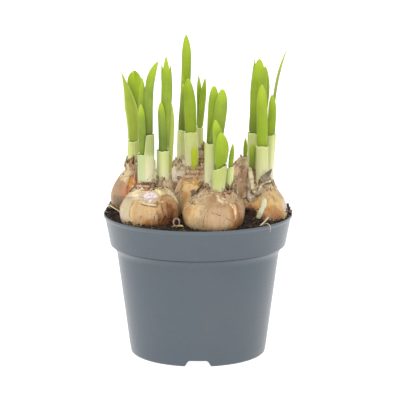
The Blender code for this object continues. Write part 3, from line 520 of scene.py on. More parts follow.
def cutDrains(piece):
    # round holes through the base plate, cut by one collection of drums
    drums = bpy.data.collections.new("drums")
    angles = roundAngles(pot["holeSides"])
    for azimuth in np.radians(pot["holes"]):
        x = math.cos(azimuth) * pot["holeCircle"] + pot["holeRadius"] * np.cos(angles)
        y = math.sin(azimuth) * pot["holeCircle"] + pot["holeRadius"] * np.sin(angles)
        part = ringPart(pointsAt(x, y, np.array(pot["drumHeights"])[:, None]))
        mesh = bpy.data.meshes.new("drum")
        mesh.from_pydata(part["points"] * mm, [], part["quads"].tolist() + part["triangles"].tolist())
        drums.objects.link(bpy.data.objects.new("drum", mesh))
    bpy.context.scene.collection.children.link(drums)
    cut = piece.modifiers.new("drains", "BOOLEAN")
    cut.operation, cut.operand_type, cut.collection = "DIFFERENCE", "COLLECTION", drums
    mesh = bpy.data.meshes.new_from_object(piece.evaluated_get(bpy.context.evaluated_depsgraph_get()))
    piece.modifiers.clear()
    piece.data = mesh
    for drum in list(drums.objects):
        bpy.data.objects.remove(drum, do_unlink=True)
    bpy.data.collections.remove(drums)


def potPlastic():
    # slate grey moulded plastic: a fine cast texture, faint flow marks, scuffs and dust near the rim, a
    # painted highlight on the rim and painted shade under the collar
    material, tree = newMaterial("potPlastic")
    place = placeOf(tree)
    cast = noiseOf(tree, place, 2600.0, 2.0)
    cloud = placeGroup(tree, patches, place, 26.0, 0.3, 0.7)
    scuff = placeGroup(tree, patches, place, 340.0, 0.62, 0.78)
    squash = addNode(tree, "VectorMath", {0: place, 1: (1.0, 1.0, 0.06)}, operation="MULTIPLY").outputs[0]
    flow = noiseOf(tree, squash, 420.0, 2.0)
    dust = timesOf(tree, placeGroup(tree, specks, place, 1100.0, 0.55), maskOf(tree, "within"))
    colour = toneMix(tree, cloud, look["plastic"], look["plasticWarm"])
    # the pale tone on the rim is a painted highlight, and the dark plastic tone under the collar is painted
    # shade
    colour = overlay(tree, colour, look, (flow, 0.25, "plasticDark"), (scuff, 0.12, "plasticPale"),
                     ("rim", 0.10, "plasticPale"), ("seam", 0.6, "plasticShade"), (dust, 1.0, "earthDark"))
    roughness = rangeOf(tree, sumOf(tree, (scuff, 0.3), (cast, 1.0)), 0.2, 1.0, 0.26, 0.38)
    return finish(material, colour, roughness, sumOf(tree, (cast, 0.5), (flow, 0.4)), 0.05)


look = {
    "plastic": (73, 84, 93), "plasticWarm": (78, 86, 92), "plasticDark": (67, 78, 88),
    "plasticPale": (134, 140, 144), "plasticShade": (50, 58, 65),
    "earthDark": (24, 16, 11), "earth": (46, 30, 20), "earthRed": (72, 44, 28), "earthPale": (104, 80, 60),
    "fibre": (178, 140, 96),
}


# Bulbs. The size figures are those of the solids, and the tones are those of the skin's clouds. Places on
# the skin are azimuth and height.

rowKeys = {
    # necks: the papery tubes, with middle, half widths, hem and top height, and how much brown they have
    "necks": "at half low top ragged lean bark",
    # patches: painted spots; paint is a tone or the name of a mask, and much is how far they cover
    "patches": "paint at size ragged soft much",
    # flaps: torn strips along a path on the skin; lift is for their lower and upper edge, paint a tone or
    # how brown
    "flaps": "path width lift paint",
    # shards: what is left of old sheaths, free of the skin
    "shards": "marks half end flat tone",
}
bulbs = {
    # dirt is earth that clings to the skin: how many crumbs, between which azimuths and heights
    "bulbLeftBack": {
        "at": (-42.6, 8.0), "radius": 12.9, "widest": 98.0, "neck": (4.3, 116.0), "topAt": (-41.6, 7.4),
        "power": 1.0, "seed": 1, "slot": "orange_skin", "outer": 0.25,
        "tones": [(184, 144, 106), (164, 118, 80), (204, 170, 126)],
        "necks": [((-41.9, 6.8), (4.1, 4.0), 114.6, 124.4, 1.6, (0.2, -0.6), 0.45,
                   {"tone": (222, 182, 134)})],
        "patches": [
            ((244, 222, 182), (228, 113.6), (3.9, 4.1), 1.2, 1.0, 0.9),
            ((168, 140, 112), (226, 105.1), (3.5, 5.6), 1.0, 1.6, 0.9),
            ((204, 132, 96), (257, 104.8), (4.0, 4.2), 1.0, 1.8, 0.8),
            ((128, 104, 82), (231, 97.0), (5.7, 4.1), 1.5, 2.0, 0.9),
            ((176, 110, 80), (271, 100.8), (1.9, 2.6), 1.0, 1.2, 0.8),
            ((224, 148, 54), (273, 108.4), (2.6, 4.6), 0.8, 0.9, 1.0, {"once": True}),
            ((176, 72, 48), (290, 109.4), (1.8, 4.6), 0.8, 0.8, 0.9, {"once": True}),
        ],
        "flaps": [
            ([(212, 115), (200, 119), (194, 123)], 2.4, (0.3, 1.4), 0.6),
            ([(262, 113), (256, 106), (262, 98)], 1.0, (0.1, 0.5), (196, 134, 84)),
            ([(284, 114), (279, 107), (283, 99)], 1.3, (0.2, 0.8), (226, 190, 120)),
        ],
        "dirt": [(70, (190, 300), (88.0, 93.0)), (10, (200, 290), (112.0, 119.0))],
    },
    "bulbLeftFront": {
        "at": (-30.3, -23.6), "radius": 18.6, "widest": 95.5, "neck": (7.6, 112.2), "topAt": (-28.4, -23.6),
        "power": 1.0, "seed": 2, "slot": "tan_skin", "outer": -0.1,
        "tones": [(200, 164, 114), (180, 138, 92), (216, 186, 138)],
        "necks": [
            ((-32.0, -26.2), (6.8, 5.1), 109.8, 114.8, 0.9, (0.0, 0.0), 0.7,
             {"rolls": 0.42, "high": (10, 1.6)}),
            ((-21.6, -20.0), (5.6, 5.2), 107.6, 117.0, 1.7, (-0.6, 0.2), 0.4, {"tone": (214, 184, 142)}),
        ],
        "patches": [
            ((204, 190, 152), (212, 98.8), (5.7, 8.2), 1.0, 1.8, 0.9),
            ((216, 200, 192), (202, 93.1), (3.7, 3.8), 0.8, 1.4, 0.8),
            ((214, 176, 124), (274, 99.8), (6.4, 3.8), 1.5, 2.2, 0.8),
            ((204, 170, 120), (246, 98.9), (4.0, 5.6), 1.0, 2.0, 0.7),
            ((196, 146, 96), (312, 101.3), (6.4, 6.7), 2.6, 1.2, 0.9),
            ((156, 94, 48), (302, 91.2), (12.6, 6.4), 3.2, 1.3, 0.9),
            ((218, 168, 108), (274, 93.4), (3.8, 1.9), 2.0, 1.2, 0.8),
            ((138, 78, 42), (318, 97.6), (3.4, 4.6), 2.0, 1.0, 0.8),
            ((196, 168, 140), (209, 104.9), (4.7, 1.0), 1.0, 0.8, 0.7),
            ((164, 112, 92), (262, 112.0), (8.0, 1.6), 1.0, 0.7, 0.8),
            ("peel", (268, 107.6), (4.9, 3.3), 1.2, 0.3, 1.0),
            ((242, 228, 192), (223, 107.4), (4.6, 1.8), 1.0, 0.35, 1.0, {"torn": 0.25}),
            ((242, 228, 170), (294, 109.6), (3.6, 2.0), 1.0, 0.35, 1.0, {"torn": 0.25}),
            ((234, 218, 176), (329, 107.6), (1.8, 3.2), 0.8, 0.35, 1.0, {"torn": 0.25}),
            ("soot", (300, 93), (13, 6.5), 2.6, 3.0, 0.9),
            ("soot", (233, 91.5), (2.4, 1.2), 1.0, 1.0, 0.9),
        ],
        "flaps": [
            ([(205, 107), (224, 109.6), (244, 110.2)], 2.6, (0.3, 1.0), (240, 226, 186)),
            ([(284, 111.6), (298, 108.6), (318, 108.6)], 2.4, (0.3, 1.2), (242, 228, 168)),
            ([(246, 104.6), (264, 103.2), (286, 102.2)], 1.1, (0.2, 0.7), (232, 208, 160)),
            ([(243, 103.6), (264, 102.2), (289, 101.2)], 0.5, (0.1, 0.15), (138, 100, 66)),
            ([(300, 107), (296, 101), (303, 95)], 0.6, (0.1, 0.2), (110, 70, 42)),
            ([(233, 105), (230, 99), (236, 92)], 0.4, (0.08, 0.12), (164, 130, 90)),
            ([(312, 104), (309, 99), (315, 94)], 1.0, (0.1, 0.45), (126, 80, 44)),
            ([(324, 111), (336, 107), (346, 101)], 2.2, (0.4, 1.5), (236, 218, 172)),
        ],
        "shards": [
            ([(-27.2, -26.8, 112.0), (-26.7, -26.6, 119.0), (-26.6, -25.6, 128.6)], 1.5, 0.3, 0.35,
             (214, 206, 160)),
            ([(-24.0, -25.6, 111.6), (-23.4, -26.2, 114.4), (-21.4, -26.2, 117.4)], 1.1, 0.2, 0.35,
             (222, 202, 158)),
            ([(-30.2, -31.0, 110.8), (-28.4, -31.2, 113.4), (-26.2, -30.4, 114.6)], 0.55, 0.3, 0.5,
             (74, 52, 38)),
            ([(-26.8, -30.2, 112.4), (-25.6, -29.4, 115.4), (-24.2, -27.8, 116.8)], 0.6, 0.3, 0.5,
             (84, 62, 44)),
        ],
        "dirt": [(150, (215, 335), (87.5, 91.0)), (50, (280, 330), (90.0, 96.0)),
                 (36, (255, 300), (110.5, 112.5)), (12, (226, 240), (90.0, 93.0))],
    },
    "bulbMiddleBack": {
        "at": (-9.8, 25.0), "radius": 10.9, "widest": 100.0, "neck": (4.4, 119.5), "topAt": (-10.6, 24.4),
        "power": 1.0, "seed": 3, "slot": "cream_skin", "outer": -0.3,
        # tones painted paler than the skin's own cream: painted light against the shade this bulb stands in
        "tones": [(255, 238, 210), (240, 212, 180), (255, 246, 226)],
        "necks": [((-10.9, 24.2), (4.6, 4.3), 115.6, 120.0, 1.3, (0.2, 0.0), 0.0, {"tone": (255, 236, 206)})],
        "patches": [
            ((255, 246, 226), (242, 111.5), (5.5, 4.6), 1.0, 1.4, 0.95),
            ((240, 214, 184), (210, 107.1), (3.1, 3.7), 1.0, 1.4, 0.7),
            ((178, 148, 132), (240, 103.0), (4.4, 3.1), 1.5, 0.8, 0.95, {"torn": 0.2}),
        ],
        "flaps": [
            ([(236, 118), (222, 120), (210, 122)], 2.0, (0.2, 1.0), 0.2),
            ([(226, 106), (240, 106.8), (256, 106)], 1.2, (0.2, 0.7), (236, 220, 196)),
        ],
        "dirt": [(20, (200, 300), (92.0, 100.0)), (8, (220, 290), (116.0, 121.0))],
    },
    "bulbCentre": {
        "at": (-2.2, -3.0), "radius": 13.4, "widest": 96.5, "neck": (5.8, 115.0), "topAt": (-2.4, -4.6),
        "power": 0.92, "seed": 4, "slot": "orange_skin", "outer": 0.0,
        # the tones, and the cream strip on the left, are painted lighter than the skin's own: painted light
        # against the shade between the bulbs
        "tones": [(252, 210, 150), (236, 184, 122), (254, 226, 176)],
        "necks": [((-1.3, -5.4), (6.4, 6.4), 112.8, 122.0, 1.3, (0.2, 0.0), 0.15,
                   {"rolls": 0.4, "high": (0, 1.6), "tone": (250, 206, 154)})],
        "patches": [
            ((255, 216, 150), (250, 109.4), (5.5, 6.1), 1.0, 2.0, 0.9),
            ((214, 174, 126), (275, 102.3), (3.2, 3.8), 1.5, 2.0, 0.6),
            ((228, 170, 104), (239, 102.6), (2.0, 3.2), 1.0, 1.0, 0.8),
            ((200, 150, 104), (248, 113.5), (6.0, 1.1), 1.5, 0.5, 0.8),
            ((228, 200, 166), (282, 115.3), (6.3, 1.6), 1.5, 0.5, 0.9, {"torn": 0.2}),
            ((148, 116, 108), (276, 105.6), (4.0, 2.2), 1.4, 0.45, 1.0, {"torn": 0.2}),
            ((138, 104, 96), (307, 109.4), (5.2, 3.2), 1.4, 0.45, 1.0, {"torn": 0.2}),
            ((230, 178, 74), (284, 111.0), (1.8, 1.9), 0.8, 0.6, 0.95),
            ((250, 238, 206), (222, 99.1), (2.8, 6.4), 0.8, 0.35, 1.0, {"torn": 0.25}),
        ],
        "flaps": [
            ([(217, 109), (222, 102), (232, 95)], 2.8, (0.3, 1.3), (250, 240, 210)),
            ([(234, 108), (234, 102), (238, 96)], 0.9, (0.1, 0.5), (150, 104, 58)),
            ([(226, 112.4), (258, 113.4), (290, 112.8)], 1.8, (0.2, 1.0), (186, 136, 92)),
            ([(252, 115.4), (285, 114.2), (318, 115)], 1.7, (0.3, 1.2), (232, 206, 172)),
            ([(262, 104), (284, 107.2), (312, 112)], 1.2, (0.2, 1.0), (108, 80, 66)),
            ([(318, 110), (328, 104), (335, 97)], 2.4, (0.2, 1.0), 0.6),
        ],
        "dirt": [(30, (215, 330), (88.0, 95.0)), (26, (230, 320), (112.0, 118.0))],
    },
    "bulbBack": {
        "at": (5.0, 43.0), "radius": 11.4, "widest": 98.0, "neck": (3.6, 117.0), "topAt": (3.0, 40.2),
        "power": 1.0, "seed": 5, "slot": "tan_skin", "outer": 0.15,
        "tones": [(206, 172, 126), (184, 144, 100), (222, 196, 152)],
        "necks": [((2.2, 40.2), (3.7, 3.6), 114.0, 125.2, 1.9, (0.3, -0.2), 0.8)],
        "patches": [
            ((170, 114, 68), (90, 98), (7, 6), 2.0, 2.0, 0.7),
            ((226, 204, 164), (120, 104), (5, 6), 1.5, 0.5, 0.9, {"torn": 0.25}),
            ((190, 158, 122), (30, 102), (5, 6), 1.5, 1.5, 0.8),
            ("peel", (60, 106), (3.4, 2.8), 1.2, 0.3, 1.0),
        ],
        "flaps": [
            ([(40, 112), (66, 110.6), (92, 112.4)], 2.4, (0.2, 1.1), 0.4),
            ([(112, 112), (118, 106), (116, 99)], 1.4, (0.2, 0.8), (238, 220, 178)),
        ],
        "dirt": [(60, (0, 180), (88.0, 94.0))],
    },
    "bulbFront": {
        "at": (9.4, -36.3), "radius": 19.0, "widest": 97.0, "neck": (7.4, 112.2), "topAt": (12.2, -35.4),
        "power": 1.1, "seed": 6, "slot": "tan_skin", "outer": 0.1,
        "tones": [(174, 140, 96), (154, 114, 76), (192, 162, 116)],
        "necks": [
            ((8.8, -31.2), (6.2, 5.0), 108.4, 113.7, 1.2, (0.0, 0.0), 0.5),
            ((12.0, -40.8), (5.5, 4.7), 108.0, 113.0, 1.1, (0.0, 0.0), 0.35, {"rolls": 0.15}),
            ((19.0, -34.8), (4.2, 4.0), 107.0, 114.8, 1.7, (0.3, 0.0), 0.6),
        ],
        "patches": [
            ((220, 186, 128), (211, 98.2), (8.3, 8.1), 1.5, 2.2, 0.85),
            ((200, 142, 90), (217, 100.4), (2.4, 2.7), 1.2, 1.1, 0.85),
            ((180, 146, 108), (267, 106.0), (9.0, 3.6), 1.5, 1.4, 0.8),
            ((170, 112, 56), (323, 98.6), (6.2, 7.4), 1.5, 2.0, 0.9),
            ((190, 160, 122), (277, 95.7), (8.6, 8.6), 1.0, 0.7, 0.95),
            ((194, 154, 124), (286, 97.5), (3.8, 3.7), 1.0, 2.5, 0.5),
            ((202, 174, 134), (291, 92.3), (4.0, 2.0), 1.0, 1.5, 0.7),
            ((232, 202, 160), (317, 102.4), (1.4, 4.4), 0.8, 0.5, 0.8),
            ((140, 86, 44), (334, 93), (5.0, 3.6), 1.8, 1.5, 0.8),
            ((196, 154, 116), (326, 110.4), (5.6, 2.4), 1.5, 1.0, 0.8),
            ((164, 128, 98), (252, 110.5), (6.1, 2.2), 2.0, 1.2, 0.7),
            ((148, 118, 108), (200, 109.4), (6.5, 3.4), 1.8, 0.5, 0.9, {"torn": 0.2}),
            ((208, 180, 140), (290, 107.6), (3.0, 2.0), 0.8, 0.35, 1.0, {"torn": 0.25}),
            ("soot", (271, 100.4), (1.6, 0.8), 0.5, 0.8, 0.95),
            ("soot", (214, 92), (8, 3), 2.0, 2.0, 0.6),
        ],
        "flaps": [
            ([(186, 106), (214, 109.2), (246, 110.8)], 2.6, (0.4, 1.3), 0.5),
            ([(272, 110.0), (281, 106.6), (300, 106)], 1.1, (0.3, 1.1), (222, 196, 154)),
            ([(298, 109.6), (318, 108.6), (338, 110)], 1.8, (0.3, 1.1), (208, 170, 126)),
            ([(252, 92), (251, 98), (259, 105)], 0.5, (0.05, 0.25), (214, 186, 148)),
            ([(304, 105.5), (314, 100), (312, 94)], 1.4, (0.1, 0.6), (232, 202, 158)),
            ([(322, 105), (331, 100), (330, 95)], 1.0, (0.1, 0.5), (150, 104, 62)),
            ([(336, 110), (352, 105), (358, 98)], 2.6, (0.3, 1.2), 0.6),
            ([(196, 98), (206, 102), (212, 106)], 0.9, (0.1, 0.4), (168, 128, 84)),
            ([(273, 100.0), (290, 97.8), (308, 94.6)], 0.5, (0.1, 0.15), (118, 86, 62)),
            ([(206, 110), (216, 107), (234, 106)], 0.7, (0.1, 0.3), (112, 84, 64)),
            ([(248, 108.8), (266, 106.4), (282, 105.2)], 0.5, (0.1, 0.2), (136, 104, 78)),
            ([(262, 104.4), (254, 99), (250, 91)], 0.35, (0.08, 0.12), (150, 118, 88)),
        ],
        "shards": [([(8.4, -37.6, 109.6), (7.9, -37.2, 114.0), (7.5, -36.2, 119.4)], 1.25, 0.2, 0.35,
                    (236, 232, 206))],
        "dirt": [(110, (200, 330), (87.5, 90.0)), (60, (290, 335), (109.0, 113.0)),
                 (30, (180, 230), (104.0, 110.0)), (6, (266, 276), (100.0, 101.0))],
    },
    "bulbRightBack": {
        "at": (29.0, 23.0), "radius": 12.2, "widest": 98.0, "neck": (3.3, 121.5), "topAt": (29.8, 21.2),
        "power": 1.2, "seed": 7, "slot": "cream_skin", "outer": -0.1,
        "tones": [(252, 218, 186), (232, 192, 158), (255, 232, 204)],
        "necks": [((29.7, 20.8), (3.5, 2.7), 117.4, 121.6, 1.2, (0.0, -0.2), 0.1, {"tone": (252, 212, 186)})],
        "patches": [
            ((255, 212, 190), (206, 116.6), (4.6, 6.3), 1.0, 1.4, 0.9),
            ((216, 202, 140), (222, 119.6), (1.5, 2.6), 0.8, 1.0, 0.7),
            ((190, 150, 118), (254, 110.4), (4.4, 3.2), 1.5, 1.4, 0.8),
        ],
        "flaps": [
            ([(258, 113), (262, 116), (266, 120)], 2.2, (0.2, 1.2), 0.7),
            ([(226, 108), (240, 110), (252, 109)], 1.6, (0.2, 1.0), (232, 208, 178)),
        ],
        "dirt": [(30, (180, 330), (90.0, 96.0))],
    },
    "bulbRight": {
        "at": (40.8, -8.0), "radius": 15.7, "widest": 91.5, "neck": (6.6, 111.4), "topAt": (40.6, -5.4),
        "power": 1.5, "seed": 8, "slot": "orange_skin", "outer": 0.0,
        "tones": [(208, 164, 100), (188, 138, 82), (224, 192, 136)],
        "necks": [
            ((40.4, -10.0), (5.5, 4.7), 107.6, 112.4, 1.5, (0.0, 0.0), 0.05,
             {"high": (-10, 2.0), "tone": (246, 230, 190)}),
            ((37.2, 0.8), (6.8, 5.1), 107.0, 116.6, 1.9, (0.0, 0.0), 0.4),
            ((43.4, -3.0), (3.1, 3.3), 106.6, 113.6, 1.8, (0.1, 0.0), 0.7),
            ((34.2, -5.6), (3.5, 3.2), 107.0, 116.6, 1.8, (0.0, 0.2), 0.2),
        ],
        "patches": [
            ((224, 178, 102), (266, 98.9), (5.6, 5.4), 1.0, 2.0, 0.9),
            ((222, 190, 130), (313, 101.5), (5.4, 6.4), 1.0, 2.0, 0.9),
            ((172, 104, 74), (233, 96.0), (5.2, 3.1), 1.2, 1.4, 0.9),
            ((210, 148, 74), (281, 96.1), (3.4, 2.4), 1.0, 1.1, 0.85),
            ((228, 210, 200), (347, 96.7), (4.6, 5.4), 0.8, 1.0, 0.85),
            ((162, 94, 82), (262, 92.6), (4.2, 2.2), 1.0, 1.1, 0.9),
            ((178, 126, 76), (296, 94.6), (6.0, 3.4), 1.4, 1.6, 0.85),
            ((190, 124, 86), (314, 91.9), (5.5, 2.4), 1.0, 1.4, 0.8),
            ((206, 168, 112), (318, 108.4), (4.4, 3.4), 1.0, 1.0, 0.8),
            ((134, 98, 90), (200, 107.6), (3.2, 3.0), 1.0, 0.6, 0.95),
            ((250, 234, 194), (244, 108.8), (7.2, 4.4), 0.6, 0.4, 1.0, {"torn": 0.3}),
            ((236, 214, 198), (220, 103.2), (4.6, 2.4), 0.8, 0.4, 1.0, {"torn": 0.2}),
            ((150, 112, 66), (270, 107.0), (5.6, 1.3), 0.8, 0.5, 0.9),
            # a near-black patch low on the side towards the front bulb: the dark gap between the bulbs,
            # painted as shade
            ((56, 36, 26), (238, 92.8), (7.4, 4.2), 2.4, 1.0, 0.95),
            ("soot", (250, 90.5), (9, 3), 2.0, 2.0, 0.8),
        ],
        "flaps": [
            ([(303, 112.0), (277, 108.0), (261, 104.8), (240, 100.2)], 2.4, (0.3, 1.3), (120, 88, 52),
             {"raise": (3.4, 0.0)}),
            ([(298, 113.4), (274, 109.6), (256, 105.8)], 2.2, (0.6, 1.7), (252, 238, 202),
             {"raise": (3.4, 0.4)}),
            ([(196, 109.4), (214, 107), (240, 104)], 1.3, (0.4, 1.5), (92, 66, 44)),
            ([(190, 107.6), (206, 103.4), (230, 99.9)], 1.5, (0.3, 1.2), (108, 80, 60)),
            ([(210, 105.4), (220, 103.4), (233, 101.6)], 2.6, (0.3, 0.9), (250, 228, 212)),
            ([(292, 107.6), (300, 104.4), (306, 100)], 1.6, (0.2, 0.9), (228, 186, 132)),
            ([(332, 110), (344, 104), (350, 98)], 1.6, (0.2, 0.8), (236, 218, 198)),
        ],
        "shards": [
            ([(34.8, -12.6, 107.2), (33.6, -10.4, 113.6), (32.6, -8.4, 120.6)], 1.6, 0.8, 0.3,
             (250, 236, 202)),
            ([(39.6, -16.6, 113.8), (42.8, -16.4, 116.6), (46.4, -14.2, 120.6)], 1.9, 0.3, 0.35,
             (112, 104, 90)),
        ],
        "dirt": [(80, (215, 330), (87.5, 90.5)), (110, (212, 262), (88.0, 96.5)),
                 (24, (200, 240), (98.0, 106.0)), (40, (330, 368), (89.0, 96.0))],
    },
}
for bulbSpec in bulbs.values():
    for rows, keys in rowKeys.items():
        bulbSpec[rows] = [named(keys, row) for row in bulbSpec.get(rows, [])]
# depth of the basal plate in radii, and how far the ellipse has closed there
bulbDepth, bulbBase = 0.95, 0.855
kinds = ("peel", "bark", "soot", "rim", "crack")
strewn = {
    "flakes": 5, "width": (1.8, 4.2), "lift": (0.1, 0.6),    # scraps on each bulb
    "wisps": 7, "wispThick": (0.05, 0.09),     # shreds on each neck: least thickness, and what it varies by
    "dirtSize": (0.16, 0.42),      # least size of a clinging crumb, and what it varies by
}
paper = {
    # tones that the papery necks and scraps share
    "cream": (232, 214, 176), "tan": (202, 164, 118), "brown": (150, 110, 76), "dark": (96, 68, 48),
    "mauve": (160, 128, 116), "milk": (232, 214, 178), "foot": (150, 100, 58),
    "rollHighlight": (246, 214, 172), "rollShade": (128, 82, 56),
}
# columns for each mm of radius, step in mm
bodyGrid = {"columns": 10, "step": 0.4, "lowRows": 12, "capRows": 11}
neckGrid = {"columns": 88, "rows": 15}
skinDepth = {
    # in mm: swells, creases and the crumpled shoulder; a torn outer skin, its rim, and the flesh that lies
    # bare
    "flutes": 0.26, "creases": 0.12, "shoulder": 0.5, "sheet": 0.16, "sheetRim": 0.12, "peel": 0.4,
}


def bulbRadius(spec, z):
    # below the widest level an ellipse down to the basal plate, above it a parabola up to the neck
    depth = (spec["widest"] - z) / (bulbDepth * spec["radius"])
    low = spec["radius"] * np.sqrt(np.clip(1.0 - bulbBase * depth ** 2, 0.0, None))
    neckRadius, neckZ = spec["neck"]
    rise = np.clip((z - spec["widest"]) / (neckZ - spec["widest"]), 0.0, 1.0)
    high = neckRadius + (spec["radius"] - neckRadius) * (1.0 - rise ** 2) ** spec["power"]
    return np.where(z <= spec["widest"], low, high)


def bulbCentre(spec, z):
    # the axis leans from the body's centre to the neck
    rise = np.clip((z - spec["widest"]) / (spec["neck"][1] - spec["widest"]), 0.0, 1.0)[..., None]
    start, end = np.array(spec["at"]), np.array(spec["topAt"])
    return start + (end - start) * rise ** 1.5


def bulbWobble(spec, angle):
    seed = spec["seed"]
    return 1.0 + 0.010 * np.cos(2 * angle + seed * 1.7) + 0.009 * np.cos(3 * angle + seed * 2.9) \
        + 0.006 * np.cos(7 * angle + seed * 0.8)


def skinArc(spec):
    # the way along the skin from the basal plate up, as a table of heights and lengths
    z = np.linspace(spec["widest"] - bulbDepth * spec["radius"], spec["neck"][1] + 20.0, 400)
    return z, np.concatenate([[0.0], np.cumsum(np.hypot(np.diff(bulbRadius(spec, z)), np.diff(z)))])


def skinPoint(spec, azimuth, z, lift):
    # points on the skin, raised by lift, and the way out from the skin there. Azimuth is in degrees.
    turn = np.radians(azimuth)
    outward = pointsAt(np.cos(turn), np.sin(turn), 0.0)
    slope = bulbRadius(spec, z + 0.5) - bulbRadius(spec, z - 0.5)
    normal = outward - slope[..., None] * np.array([0.0, 0.0, 1.0])
    normal = normal / np.linalg.norm(normal, axis=-1, keepdims=True)
    reach = (bulbRadius(spec, z) * bulbWobble(spec, turn))[..., None]
    centre = np.concatenate([bulbCentre(spec, z), z[..., None]], axis=-1)
    return centre + outward * reach + normal * np.asarray(lift)[..., None], normal


def skinPlace(spec, azimuth, z, across, up):
    # steps across and up along the skin, in mm, turned to azimuth and height
    heights, lengths = skinArc(spec)
    level = np.interp(np.interp(z, heights, lengths) + up, lengths, heights)
    return azimuth + np.degrees(across / np.maximum(bulbRadius(spec, np.asarray(z, float)), 3.0)), level


def wrapOf(spec, turn, arc):
    # a place for patterns that run with the growth: round the bulb at its greatest radius, and up the skin
    around = np.stack([np.cos(turn), np.sin(turn)], axis=-1) * spec["radius"]
    around, arc = np.broadcast_arrays(around, np.asarray(arc)[..., None])
    return np.concatenate([around, arc[..., :1]], axis=-1)


def patchField(spec, patch, angles, z, arc, points):
    # how far inside the patch a point lies, in mm: an oval on the unrolled skin, its edge made ragged by
    # noise
    across = np.mod(angles - math.radians(patch["at"][0]) + math.pi, 2.0 * math.pi) - math.pi
    across = across * np.maximum(bulbRadius(spec, z), 3.0)
    up = arc - np.interp(patch["at"][1], *skinArc(spec))
    wide, tall = patch["size"]
    inside = (1.0 - np.sqrt((across / wide) ** 2 + (up / tall) ** 2)) * min(wide, tall)
    return inside + patch["ragged"] * layeredNoise(points, 3.2, spec["seed"] + wide, 3)


def allPatches(spec):
    # the side turned away gets the same marks again, mirrored and moved a little, apart from those marked
    # "once"
    draw = np.random.default_rng(spec["seed"] + 70)
    away = []
    for patch in spec["patches"]:
        azimuth, z = patch["at"]
        moved = (360.0 - azimuth + 50.0 * (draw.random() - 0.5), z + 3.0 * (draw.random() - 0.5))
        if not patch.get("once"):
            away.append(dict(patch, at=moved))
    return away + spec["patches"]


def groundTint(spec, wrap, z, seed):
    # three tones in soft clouds that are drawn out up the skin, and a browner foot and shoulder
    wide = ease(-0.2, 0.4, drawnNoise(wrap, 0.35, 10.0, seed, 2))
    small = ease(0.0, 0.5, drawnNoise(wrap, 0.25, 4.5, seed + 3, 3))
    first, second, third = spec["tones"]
    high = np.clip((z - spec["widest"]) / (spec["neck"][1] - spec["widest"]), 0.0, 1.0)
    full = np.ones_like(wide)
    return paintOver(tintOf(first), (wide, second), (0.8 * small, third),
                     (0.75 * ease(91.5, 87.5, z) * full, paper["foot"]),
                     (0.35 * high ** 4 * full, paper["brown"]))


def skinPaint(spec, angles, z, points):
    # the tints, masks and relief of the torn skins and patches at points of the body or of a sheet on it
    z = np.minimum(z, spec["neck"][1])
    arc = np.interp(z, *skinArc(spec))
    wrap = wrapOf(spec, angles, arc)
    seed = spec["seed"] * 1.7
    masks = {kind: np.zeros(wrap.shape[:2]) for kind in kinds}

    def mark(kind, much):
        masks[kind] = np.maximum(masks[kind], much)

    def line(field, middle, width):
        # 1 where the field is at the middle, fading on both sides
        return np.exp(-((field - middle) / width) ** 2)

    tints = groundTint(spec, wrap, z, seed)
    relief = np.zeros(wrap.shape[:2])
    for level in (0, 1):
        torn = drawnNoise(wrap, 0.6, 15.0, seed + 20 + 7 * level, 4)
        torn = torn + spec["outer"] + 0.1 - 0.3 * level
        step = ease(-0.015, 0.015, torn)
        relief = relief + skinDepth["sheet"] * step + skinDepth["sheetRim"] * line(torn, 0.03, 0.022)
        tints = paintOver(tints, ((1.0 - step) * (0.3 - 0.1 * level), paper["milk"]))
        # the torn edge's pale rim is a painted highlight, and the dark line at its foot is painted shadow
        mark("rim", line(torn, 0.03, 0.018) * 0.45)
        mark("crack", line(torn, -0.008, 0.012) * 0.45)
    for patch in allPatches(spec):
        field = patchField(spec, patch, angles, z, arc, points)
        mask = patch["much"] * ease(-patch["soft"], patch["soft"], field)
        painted = patch["paint"] not in kinds
        if painted:
            tints = paintOver(tints, (mask, patch["paint"]))
            for kind in kinds:
                masks[kind] = masks[kind] * (1.0 - 0.8 * mask)
        else:
            mark(patch["paint"], mask)
        torn = skinDepth["peel"] if patch["paint"] == "peel" else patch.get("torn", 0.0)
        if torn > 0.0:
            relief = relief - torn * mask + 1.1 * torn * line(field, -0.55, 0.38)
            # the sunk edge of a peeled patch gets a dark line of painted shadow, and the ridge round it a
            # painted highlight
            mark("crack", (0.2 if painted else 0.6) * line(field, 0.12, 0.24))
            mark("rim", 0.5 * line(field, -0.6, 0.3))
    mark("soot", 0.7 * ease(91.0, 88.0, z) * np.ones(wrap.shape[:2]))
    return tints, masks, relief


